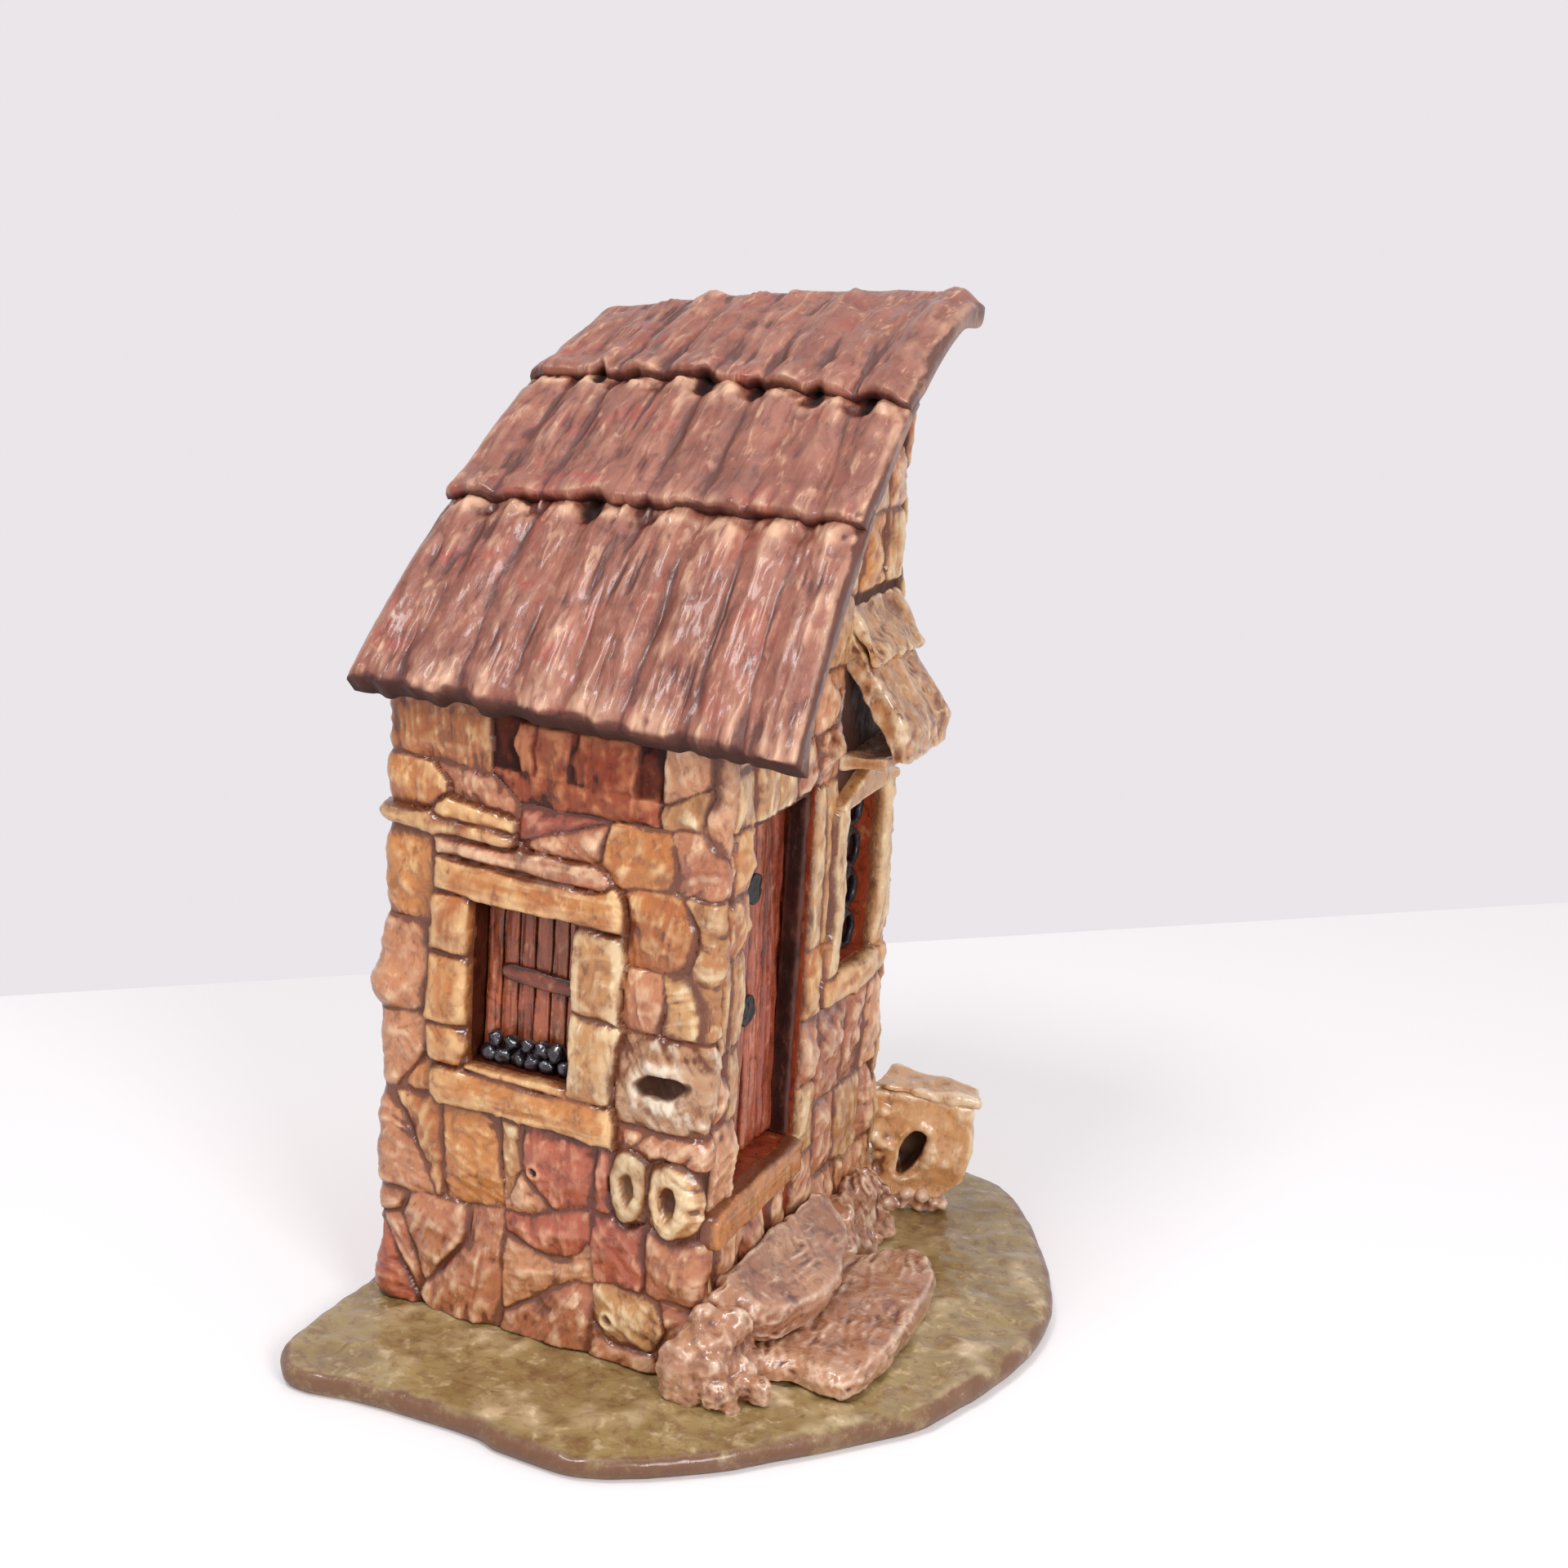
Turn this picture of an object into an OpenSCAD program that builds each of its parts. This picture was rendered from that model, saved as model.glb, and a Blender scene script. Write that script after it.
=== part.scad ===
// Miniature rustic stone cottage, hand-built from clay pieces that are joined with slip and glazed.
// Millimetres, +Z up. The origin is the middle of the house footprint, on the underside of the ground slab.
// The window front faces -Y and the door wall faces +X.
// The roof rises from the front eave to the back ridge.

/* [Ground slab] */
// Thickness of the ground slab
slab_t = 4; // [3:0.5:7]
// Height of the stepped-in upper rim of the slab
slab_rim = 1.2; // [0.6:0.2:1.6]
// Height of the drawn-in foot of the slab
slab_foot = 1; // [0.4:0.1:1.2]
// How far the slab reaches in front of the window front
yard_front = 24; // [20:0.5:34]
// How far the slab reaches to the right of the door wall
yard_right = 36; // [30:0.5:44]
// How far the slab reaches behind the house
yard_back = 27; // [20:0.5:34]
// How far the slab reaches to the left of the house
yard_left = 3.5; // [2:0.5:12]

/* [House] */
// Width of the wall slabs' body, across the window front
house_w = 48; // [44:0.5:52]
// Distance from the origin to the window front
front_reach = 29.5; // [28:0.5:33]
// Distance from the origin to the back wall's inner face at its foot
back_reach = 25; // [24:0.5:29]
// Thickness of the wall slabs
wall_t = 5; // [4:0.5:6]
// Forward lean of the back wall, in degrees
back_lean = 3.2; // [0:0.2:5]
// How far the stones stand out of the walls
stone_t = 1.2; // [0.8:0.1:2]
// Width of the joints between stones
joint = 0.5; // [0.4:0.1:1]
// How far the hand-laid stones and boards wander off the straight
crook = 0.5; // [0:0.1:0.8]

/* [Roof] */
// Height of the eave's underside
eave_z = 92.3; // [89:0.1:98]
// Overhang of the eave's underside in front of the window front
eave_out = 5; // [3:0.5:8]
// Overhang of the ridge behind the back wall's foot
ridge_out = 3; // [0:0.5:6]
// Rise of the underside from eave to ridge along the left verge
rise_left = 40.2; // [36:0.1:46]
// Rise of the underside from eave to ridge along the right verge
rise_right = 48.7; // [44:0.1:54]
// Extra height of the ridge between the verges
ridge_bow = 1.2; // [0:0.2:4]
// Roundness of the slope along the left verge (1 is straight)
arch_left = 1.55; // [1.2:0.05:2.2]
// Roundness of the slope along the right verge
arch_right = 1.95; // [1.2:0.05:2.4]
// Overhang of the left verge at the eave
verge_left = 3.5; // [2.5:0.5:8]
// Overhang of the right verge at the eave
verge_right = 12.5; // [6:0.5:16]
// How much the left verge draws in towards the ridge
verge_left_in = 1.5; // [0:0.5:1.5]
// How much the right verge draws in towards the ridge
verge_right_in = 4.5; // [0:0.5:6]
// Thickness of a tile course
tile_t = 2.4; // [2:0.2:3.4]
// Height of the barrels on a tile course
barrel_h = 1.3; // [0.6:0.1:2]
// Barrels across a course
barrels = 8; // [6:1:10]
// Thickness of the lower lip of a course
lip_t = 1.7; // [1.2:0.1:2.4]
// Hollow under each barrel at the lower lip
lip_hollow = 1; // [0.4:0.1:1.4]
// Overlap of one course on the next, along the ground
course_lap = 2.2; // [1.5:0.1:3]
// Place of the lower joint along the roof's run at the left verge
joint_low_left = 0.355; // [0.3:0.005:0.4]
// Place of the lower joint along the roof's run at the right verge
joint_low_right = 0.31; // [0.28:0.005:0.4]
// Place of the upper joint along the roof's run at the left verge
joint_up_left = 0.685; // [0.6:0.005:0.75]
// Place of the upper joint along the roof's run at the right verge
joint_up_right = 0.54; // [0.52:0.005:0.75]

/* [Front window] */
// Centre of the window opening, across the front
win_x = -3.2; // [-4:0.1:-2]
// Height of the opening's foot
win_z = 42; // [40:0.5:46]
// Width of the opening
win_w = 15.4; // [13:0.1:16]
// Height of the opening
win_h = 23; // [18:0.5:24]
// Depth of the shutter behind the wall face
shutter_in = 2.6; // [1.6:0.1:3.2]
// Thickness of the shutter
shutter_t = 1.4; // [1:0.1:1.6]
// Planks in the shutter
shutter_planks = 5; // [3:1:7]
// Width of the left jamb blocks
jamb_left_w = 5.4; // [4:0.1:6]
// Width of the right jamb blocks
jamb_right_w = 6.4; // [4:0.1:7]
// Height of the lintel beam
lintel_h = 5; // [4:0.1:6]
// Height of the thin board on the lintel
board_h = 2.5; // [1.5:0.1:3]
// Height of the sill board
sill_h = 5; // [4:0.1:6]
// Height of the ledge on the sill board
ledge_h = 1.3; // [0.8:0.1:2]
// How far the timber boards stand out of the wall
board_out = 1.9; // [1.2:0.1:2.6]
// Radius of the flower beads on the window foot
bead_r = 1.1; // [0.8:0.05:1.2]

/* [Door] */
// Centre of the door opening, along the door wall
door_y = -11; // [-12:0.5:-10]
// Height of the door's foot
door_z = 28.5; // [26:0.5:31]
// Width of the door opening
door_w = 21; // [17:0.5:22]
// Height of the door opening
door_h = 51; // [44:0.5:53]
// Depth of the door leaf behind the wall face
leaf_in = 3.2; // [2:0.1:3.4]
// Thickness of the door leaf
leaf_t = 1.5; // [1:0.1:1.6]
// Planks in the door leaf
leaf_planks = 4; // [3:1:6]
// Thickness of the dark lining of the door opening
lining_t = 1.2; // [0.8:0.1:2]
// Height of the threshold board
threshold_h = 5.6; // [4:0.1:7]
// How far the threshold stands out of the wall
threshold_out = 2.4; // [2:0.1:4]

/* [Gable window] */
// Distance from the gable window's centre to the back wall's foot
gable_in = 10.1; // [10:0.1:11]
// Height of the opening's foot
gable_z = 50; // [48:0.5:50.5]
// Width of the opening
gable_w = 12.4; // [10:0.1:12.6]
// Height of the opening
gable_h = 24.6; // [20:0.1:25]
// Width of the boards beside the opening
gable_board_w = 3.4; // [2.5:0.1:3.6]
// Height of the gable window's sill
gable_sill_h = 4.6; // [3:0.1:6]
// Height of the pointed lintel
gable_lintel_h = 4.2; // [3:0.1:4.6]
// Radius of the lattice tube
lattice_r = 0.55; // [0.4:0.05:0.7]

/* [Hood] */
// Length of the hood along the wall
hood_l = 16; // [12:0.5:17]
// How far the hood stands out of the wall
hood_out = 10; // [7:0.5:12]
// Height of the hood's outer edge
hood_edge_z = 86.5; // [86:0.5:90]
// Drop of the hood from the wall to its outer edge
hood_drop = 13.5; // [10:0.5:15]
// Thickness of the hood slabs
hood_t = 3.2; // [2.4:0.1:3.6]
// Thickness of the hood's floor
hood_floor_t = 2; // [1.4:0.1:2.6]

/* [Yard] */
// Height of the lower flagstone
step_low_h = 3.8; // [2.5:0.1:6]
// Height of the upper flagstone at its outer edge
step_up_h = 2.2; // [1.6:0.1:4]
// Extra height of the upper flagstone along the wall
step_up_tilt = 9; // [6:0.1:10]
// Width of the oven across its mouth
oven_w = 15.5; // [13:0.5:17]
// Depth of the oven
oven_d = 8.5; // [8:0.5:11]
// Height of the oven
oven_h = 17.5; // [14:0.5:20]
// Thickness of the oven's cover slab
oven_top_t = 1.4; // [1:0.1:2]

/* [Hidden] */

// Clearance between pieces that seat on each other
seat = 0.25;
half_w = house_w / 2;
front_y = -front_reach;
// Outermost reach of the stones on the side walls
stone_x = half_w + stone_t;

// Glazes of the stones
OCHRE = 0;
CREAM = 1;
PINK = 2;
RED = 3;

OCHRE_COLOR = "#C8963C";
CREAM_COLOR = "#D9BE8A";
PINK_COLOR = "#B5735A";
RED_COLOR = "#A04A35";
CLAY_COLOR = "#6B3A24";
ROOF_COLOR = "#A5605A";
DARK_COLOR = "#4A241A";
BLACK_COLOR = "#241C1C";
GRASS_COLOR = "#7C7440";
ROCK_COLOR = "#A8735C";

function mix(a, b, t) = a + (b - a) * t;
function total(v) = len(v) == 0 ? 0 : v * [for (i = v) 1];
function upto(v, n) = n <= 0 ? 0 : v[n - 1] + upto(v, n - 1);

// A repeatable number from 0 to 1 for the hand-made wobble of each piece
function wobble(i) = let (v = sin(i * 127.1 + 31.7) * 4375.85) v - floor(v);

// A closed smooth curve through the given points
function curve_point(a, b, c, d, t) =
    (2 * b + (c - a) * t + (2 * a - 5 * b + 4 * c - d) * t * t + (3 * b - a - 3 * c + d) * t * t * t) / 2;
function closed_curve(p, steps) =
    let (n = len(p))
    [for (i = [0 : n - 1], k = [0 : steps - 1])
        curve_point(p[(i + n - 1) % n], p[i], p[(i + 1) % n], p[(i + 2) % n], k / steps)];

// Roof underside: u runs from the left verge to the right, t from the eave to the ridge
eave_y = front_y - eave_out;
ridge_y = back_reach + ridge_out;
roof_run = ridge_y - eave_y;
function roof_left(t) = -half_w - verge_left + verge_left_in * t;
function roof_right(t) = half_w + verge_right - verge_right_in * t;
function roof_rise(u) = mix(rise_left, rise_right, u) + ridge_bow * 4 * u * (1 - u);
function roof_arch(u) = mix(arch_left, arch_right, u);
function roof_slope(u, t) = atan(roof_rise(u) * roof_arch(u) * pow(1 - t, roof_arch(u) - 1) / roof_run);
function roof_point(u, t) = [
    mix(roof_left(t), roof_right(t), u),
    eave_y + t * roof_run,
    eave_z + roof_rise(u) * (1 - pow(1 - t, roof_arch(u)))
];
function roof_t_at(y) = (y - eave_y) / roof_run;
function roof_u_at(x, t) = (x - roof_left(t)) / (roof_right(t) - roof_left(t));
function roof_z_at(x, y) = let (t = roof_t_at(y)) roof_point(roof_u_at(x, t), t)[2];
// Where the underside passes a height, on the plane of a side wall
function roof_y_at(x, z) =
    let (u = roof_u_at(x, 0.5), part = (z - eave_z) / roof_rise(u))
    eave_y + roof_run * (part <= 0 ? 0 : 1 - pow(1 - min(part, 1), 1 / roof_arch(u)));

// Inner and outer face of the leaning back wall at a height
function back_inner_y(z) = back_reach - (z - slab_t) * tan(back_lean);
function back_outer_y(z) = back_inner_y(z) + wall_t / cos(back_lean);

// Frames of the four wall faces: local x along the wall, local y up, local z outward
module on_front() {
    translate([0, front_y, 0]) rotate([90, 0, 0]) children();
}
module on_right() {
    translate([half_w, 0, 0]) rotate([90, 0, 90]) children();
}
module on_left() {
    translate([-half_w, 0, 0]) rotate([90, 0, -90]) children();
}
module on_back() {
    translate([0, back_reach, slab_t]) rotate([back_lean, 0, 0])
        translate([0, wall_t, -slab_t]) rotate([90, 0, 180]) children();
}

// A solid through rings of points that turn anticlockwise seen from above.
// With a middle point given, the flat ends fan out from it.
module loft(rings, middle = undef) {
    n = len(rings[0]);
    last = len(rings) - 1;
    foot = (last + 1) * n;
    sides = [
        for (i = [0 : last - 1], j = [0 : n - 1])
            let (a = i * n + j, b = i * n + (j + 1) % n)
            each [[a, a + n, b + n], [a, b + n, b]]
    ];
    whole = [[for (j = [0 : n - 1]) j], [for (j = [0 : n - 1]) last * n + n - 1 - j]];
    fans = [
        for (j = [0 : n - 1])
            let (k = (j + 1) % n)
            each [[j, k, foot], [last * n + k, last * n + j, foot + 1]]
    ];
    ends = is_undef(middle) ? [] : [for (i = [0, last]) [middle[0], middle[1], rings[i][0][2]]];
    caps = is_undef(middle) ? whole : fans;
    polyhedron(concat([for (r = rings) each r], ends), concat(sides, caps), convexity = 4);
}

// A solid between two sheets of points, given as rows from front to back
module sheet(top, bottom) {
    rows = len(top);
    cols = len(top[0]);
    n = rows * cols;
    upper = [
        for (r = [0 : rows - 2], c = [0 : cols - 2])
            let (a = r * cols + c)
            each [[a, a + cols, a + cols + 1], [a, a + cols + 1, a + 1]]
    ];
    lower = [for (f = upper) [f[2] + n, f[1] + n, f[0] + n]];
    ends = [
        for (c = [0 : cols - 2])
            let (a = c, b = (rows - 1) * cols + c)
            each [
                [a, a + 1, a + 1 + n], [a, a + 1 + n, a + n],
                [b + 1, b, b + n], [b + 1, b + n, b + 1 + n]
            ]
    ];
    verges = [
        for (r = [0 : rows - 2])
            let (a = r * cols, b = r * cols + cols - 1)
            each [
                [a + cols, a, a + n], [a + cols, a + n, a + cols + n],
                [b, b + cols, b + cols + n], [b, b + cols + n, b + n]
            ]
    ];
    polyhedron([for (r = concat(top, bottom)) each r], concat(upper, lower, ends, verges), convexity = 8);
}

// The wall faces were laid by eye: every outline on them follows one gentle wave that is
// level at the foot and straight at the corners of the house
foot_calm = 10;
corner_calm = 5;
function settle(p) =
    let (
        calm = min(1, max(0, (p[1] - plinth_z) / foot_calm)),
        plumb = min(1, max(0, (half_w - abs(p[0])) / corner_calm))
    )
    p + crook * [
        plumb * 0.85 * sin(7 * p[1] + 4 * p[0]),
        calm * 0.75 * sin(7 * p[0] + 30 + 3 * p[1])
    ];
function crooked(outline) = [for (p = outline) settle(p)];

// Corners of a shape given as a box [x0, y0, x1, y1] or as its corners, anticlockwise
function corners_of(b) =
    is_num(b[0]) ? [[b[0], b[1]], [b[2], b[1]], [b[2], b[3]], [b[0], b[3]]] : b;
function inset_corner(a, b, c, d) =
    let (
        u = (b - a) / norm(b - a),
        v = (c - b) / norm(c - b),
        m = [-u[1], u[0]],
        n = [-v[1], v[0]]
    )
    b + d * (m + n) / (1 + m * n);
function inset_of(p, d) =
    let (n = len(p))
    [for (i = [0 : n - 1]) inset_corner(p[(i + n - 1) % n], p[i], p[(i + 1) % n], d)];
// Share of the way from a corner to the next one at which the corner is knocked off
function knock(a, b, seed) = min(0.2, mix(0.3, 1.3, wobble(seed)) / norm(b - a));
function knocked(p, seed) =
    let (n = len(p))
    [
        for (i = [0 : n - 1])
            let (a = p[(i + n - 1) % n], b = p[i], c = p[(i + 1) % n])
            each [mix(b, a, knock(a, b, seed * 16 + 2 * i)), mix(b, c, knock(b, c, seed * 16 + 2 * i + 1))]
    ];
// Half the width of a shape, about
function half_width(p) =
    let (n = len(p), twice = [for (i = [0 : n - 1]) cross(p[i], p[(i + 1) % n])],
        edges = [for (i = [0 : n - 1]) norm(p[(i + 1) % n] - p[i])])
    total(twice) / total(edges);

// Centre of a shape's area
function centre_of(p) =
    let (
        n = len(p),
        twice = [for (i = [0 : n - 1]) cross(p[i], p[(i + 1) % n])],
        sums = [for (k = [0, 1]) total([for (i = [0 : n - 1]) (p[i][k] + p[(i + 1) % n][k]) * twice[i]])]
    )
    sums / (3 * total(twice));

// Outline of one rough stone, with its corners knocked off
function stone_outline(b, seed, inset = 0) = crooked(knocked(inset_of(corners_of(b), inset), seed));

// One pillow-shaped stone or board that stands out of a wall face
module stone(b, seed, h) {
    round_in = min(0.7, half_width(corners_of(b)) * 0.24);
    loft([
        [for (p = stone_outline(b, seed)) [p[0], p[1], 0]],
        [for (p = stone_outline(b, seed, round_in * 0.15)) [p[0], p[1], h * 0.6]],
        [for (p = stone_outline(b, seed, round_in)) [p[0], p[1], h]]
    ], is_num(b[0]) ? undef : centre_of(stone_outline(b, seed, round_in)));
}

// Stones of a field laid without courses: [glaze, corners] drawn on a sheet [x0, y0, x1, y1] and
// stretched to the zone of the wall that it fills
drawn_joint = 0.45;
function stretched(p, sheet, zone) = [
    mix(zone[0], zone[2], (p[0] - sheet[0]) / (sheet[2] - sheet[0])),
    mix(zone[1], zone[3], (p[1] - sheet[1]) / (sheet[3] - sheet[1]))
];
function field(zone, sheet, laid, seed) = [
    for (i = [0 : len(laid) - 1])
        let (corners = [for (p = laid[i][1]) stretched(p, sheet, zone)])
        [inset_of(corners, (joint - drawn_joint) / 2), laid[i][0], seed + i]
];

// Boxes of a stone panel: each course is [height share, [[width share, glaze], ...]], from the foot up
function panel(zone, courses, seed) =
    let (
        heights = [for (c = courses) c[0]],
        rise = (zone[3] - zone[1]) / total(heights)
    )
    [
        for (i = [0 : len(courses) - 1])
            let (
                widths = [for (s = courses[i][1]) s[0]],
                run = (zone[2] - zone[0]) / total(widths),
                y0 = zone[1] + rise * upto(heights, i)
            )
            for (k = [0 : len(widths) - 1])
                let (x0 = zone[0] + run * upto(widths, k))
                [
                    [x0 + joint / 2, y0 + joint / 2, x0 + run * widths[k] - joint / 2,
                        y0 + rise * heights[i] - joint / 2],
                    courses[i][1][k][1],
                    seed + i * 7 + k
                ]
    ];

// Boxes of one course of stones between two ends, of about the given length each
function plain_course(x0, x1, y0, y1, length, glazes, seed) =
    let (
        n = max(1, round((x1 - x0) / length)),
        step = (x1 - x0) / n,
        ends = [
            for (k = [0 : n])
                x0 + step * (k + (k == 0 || k == n ? 0 : mix(-0.2, 0.2, wobble(seed + k))))
        ]
    )
    x1 - x0 < length * 0.4 ? [] : [
        for (k = [0 : n - 1])
            [[ends[k] + joint / 2, y0 + joint / 2, ends[k + 1] - joint / 2, y1 - joint / 2],
                glazes[floor(wobble(seed * 3 + k) * len(glazes))], seed + k]
    ];

module stones(boxes) {
    for (s = boxes) {
        stone(s[0], s[2], stone_t * mix(0.8, 1, wobble(s[2] + 5)));
    }
}

module stones_of(boxes, glaze) {
    stones([for (s = boxes) if (s[1] == glaze) s]);
}

// Front wall layout, measured from the window opening
win_left = win_x - win_w / 2;
win_right = win_x + win_w / 2;
win_top = win_z + win_h;
jamb_left_x = win_left - jamb_left_w;
jamb_right_x = win_right + jamb_right_w;
ledge_z = win_z - ledge_h;
sill_z = ledge_z - joint / 2 - sill_h;
lintel_z = win_top;
board_z = lintel_z + lintel_h + joint / 2;
boards_top = board_z + board_h;
// Heights above the lintel boards: the cornice ledges and the brick strip under the eave
cornice_t = 1.9;
cornice_z = boards_top + joint;
// Top of the stones under the eave
eave_stone_z = eave_z - 0.5;
head_z = lintel_z + lintel_h + 1;
bricks_z = mix(head_z, eave_stone_z, 0.43);
bricks_h = 10;
bricks_left = mix(-stone_x, stone_x, 0.335);
bricks_right = mix(-stone_x, stone_x, 0.82);
plinth_z = slab_t + joint;
cornice_x = mix(-stone_x, stone_x, 0.4);
ring_left = mix(-stone_x, stone_x, 0.735);
ring_right = mix(-stone_x, stone_x, 0.965);
ring_z = sill_z - 11.4;
corner_left_x = jamb_left_x - joint * 1.5;
corner_right_x = jamb_right_x + joint;
split_z = sill_z + 3.4;
split_h = 12.6;

// The window front is laid in rubble: corners of the stones in millimetres, across the front and up
plinth_sheet = [-25.2, 4.5, 25.2, 35.1];
plinth_laid = [
    [RED, [[-25.2, 4.5], [-18.9, 4.5], [-18.6, 6], [-24.2, 16.4], [-25.2, 16.7]]],
    [PINK, [[-23.6, 16.6], [-18.2, 6.4], [-16.8, 7.4], [-21.2, 17.2]]],
    [PINK, [[-25.2, 17.1], [-21.4, 17.7], [-19.9, 20.6], [-25.2, 20.9]]],
    [PINK, [[-20.8, 17.3], [-16.4, 8], [-10.7, 16], [-10.6, 19.8], [-19.4, 20.4]]],
    [PINK, [[-15.8, 8], [-16.4, 6.8], [-14.4, 4.5], [-5, 4.5], [-5, 21], [-10.2, 20.4], [-10.3, 15.8]]],
    [PINK, [[-25.2, 21.3], [-19.8, 21], [-16, 21.8], [-22.6, 34.6], [-25.2, 36.6]]],
    [OCHRE, [[-15.5, 21.9], [-14.9, 21.9], [-14.9, 35.1], [-22, 35.1]]],
    [OCHRE, [[-14.5, 21.5], [-5.4, 21.6], [-5.5, 35], [-14.5, 34.4]]],
    [CREAM, [[-5, 22.4], [-2.3, 27.8], [-2, 35], [-5, 35]]],
    [RED, [[-1.8, 27.4], [2.9, 23.4], [8.6, 25], [9.2, 35], [-1.6, 35]]],
    [PINK, [[-4.8, 21.5], [-1, 21.3], [2.5, 23.2], [-2.1, 27.2]]],
    [RED, [[-4.6, 18.3], [1.4, 16.2], [6.4, 17.4], [8.6, 20.6], [8.7, 24.5], [3, 22.9], [-0.9, 20.9],
        [-4.6, 21.1]]],
    [PINK, [[-4.6, 6.9], [5.6, 13.6], [8.9, 14.2], [8.7, 20], [6.5, 17], [1.4, 15.8], [-4.6, 17.9]]],
    [PINK, [[-4.4, 4.5], [8.5, 4.5], [8.6, 8.4], [8.9, 13.8], [5.8, 13.2], [-4.4, 6.5]]],
    [CREAM, [[9.2, 8.6], [12, 6.2], [18.4, 6.8], [20, 10.6], [18.6, 14.2], [11.6, 14.7], [9.3, 13.8]]],
    [PINK, [[9, 4.5], [19.6, 4.5], [18.5, 6.4], [11.9, 5.8], [9, 8.1]]],
    [PINK, [[20, 4.5], [25.2, 4.5], [25.2, 14.4], [19, 14.4], [20.4, 10.6], [18.9, 6.6]]],
    [RED, [[9.2, 15.2], [16.6, 15.2], [16.8, 23.6], [13.2, 23.2], [9.2, 24.3]]],
    [PINK, [[17, 14.9], [25.2, 14.9], [25.2, 23.2], [21.4, 23], [17.2, 23.6]]],
    [RED, [[9.1, 25], [10.6, 24.5], [11.1, 29.5], [11.5, 35.1], [9.6, 35.1]]]
];
left_sheet = [-25.2, 35.1, -17.1, 72.8];
left_laid = [
    [PINK, [[-25.2, 37.2], [-22.6, 35.4], [-17.6, 41], [-18.2, 46.4], [-25.2, 46.6]]],
    [OCHRE, [[-21.9, 35.4], [-17, 35.4], [-17, 40.9]]],
    [PINK, [[-25.2, 47.1], [-18, 46.9], [-18.3, 59.4], [-25.2, 59.8]]],
    [OCHRE, [[-25.2, 60.3], [-18.2, 59.9], [-17.1, 68], [-17.3, 72.6], [-25.2, 72.8]]]
];
right_sheet = [11.4, 35.1, 25.2, 71];
right_laid = [
    [PINK, [[12.4, 35.4], [25.2, 35.4], [25.2, 38.6], [19, 38.2], [12.4, 38.4]]],
    [PINK, [[11.6, 53], [16.4, 52.6], [17.2, 56], [16.6, 60.3], [13, 60.3], [11.6, 57.6]]],
    [CREAM, [[16.9, 52.6], [22.6, 53], [22.8, 55.4], [20.6, 60.3], [17.1, 60.3], [17.7, 56]]],
    [CREAM, [[23.1, 52.8], [25.2, 52.8], [25.2, 70.6], [20.4, 71], [22.3, 66.4], [21.2, 60.6],
        [23.3, 55.6]]],
    [OCHRE, [[12.2, 60.9], [20.4, 60.9], [21.8, 66.2], [19.6, 70.9], [12.2, 70.9]]]
];
head_sheet = [-25.2, 71, 25.2, 91.3];
head_laid = [
    [OCHRE, [[-25.2, 75.4], [-20, 75.6], [-17.2, 77.4], [-15.8, 80.2], [-18.2, 82.2], [-25.2, 82.2]]],
    [OCHRE, [[-25.2, 82.7], [-12.8, 82.7], [-9.6, 82.2], [-8.8, 86.4], [-9.6, 91.3], [-25.2, 91.3]]],
    [PINK, [[-15.4, 80.4], [-13.4, 78.8], [-7, 77.7], [-4.6, 77.4], [-5, 79.4], [-9.2, 81.6],
        [-13, 82.3], [-17.4, 82.3]]],
    [PINK, [[-3.8, 74.1], [7.2, 74.1], [8, 77], [9, 79], [4.6, 77.6], [-1.4, 75.6]]],
    [RED, [[-4.2, 76.9], [-4, 74.6], [-1.6, 75.9], [4.4, 77.9], [9, 79.3], [-4.6, 79.2]]],
    [OCHRE, [[8, 74], [9.6, 72.9], [12, 71.7], [18, 72.2], [19, 74.6], [17.7, 78.8], [13.4, 79.4],
        [9.6, 79.2], [8.4, 76.8]]],
    [PINK, [[19.4, 74.4], [18.6, 72.2], [20.2, 71.7], [25.2, 71.2], [25.2, 75.2], [22, 79.4],
        [18.4, 79.4]]],
    [CREAM, [[16.4, 79.9], [21.7, 79.9], [23, 85.4], [18.4, 82.6], [16.4, 81.6]]],
    [PINK, [[16.6, 82.4], [22.6, 86], [21.8, 91.3], [16.6, 91.3]]],
    [PINK, [[22.2, 79.9], [25.2, 75.8], [25.2, 91.3], [22.4, 91.3], [23.5, 85.6]]]
];

front_boxes = concat(
    field([-stone_x, plinth_z, stone_x, sill_z], plinth_sheet, plinth_laid, 1),
    field([-stone_x, sill_z, corner_left_x, boards_top], left_sheet, left_laid, 31),
    field([corner_right_x, sill_z, stone_x, head_z], right_sheet, right_laid, 41),
    field([-stone_x, head_z, stone_x, eave_stone_z], head_sheet, head_laid, 51)
);

// Door wall layout, measured from the door and the gable window
door_near = door_y - door_w / 2;
door_far = door_y + door_w / 2;
door_top = door_z + door_h;
threshold_z = door_z - threshold_h;
gable_y = back_reach - gable_in;
gable_near = gable_y - gable_w / 2;
gable_far = gable_y + gable_w / 2;
gable_top = gable_z + gable_h;
gable_side_near = gable_near - gable_board_w;
gable_side_far = gable_far + gable_board_w;
gable_sill_z = gable_z - gable_sill_h;
hood_lip = 4.5;
hood_near = gable_y - hood_l / 2;
hood_far = gable_y + hood_l / 2;
hood_floor_z = hood_edge_z - hood_lip - hood_floor_t;
hood_top_z = hood_edge_z + hood_drop;
// Room for the wandering stones beside and above the hood
hood_room = 1.6 * crook + joint;
hood_stone_y = hood_near - hood_room;
hood_stone_z = hood_top_z + 4 + hood_room;
side_start = front_y + joint / 2;
jamb_end = gable_side_near;

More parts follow.
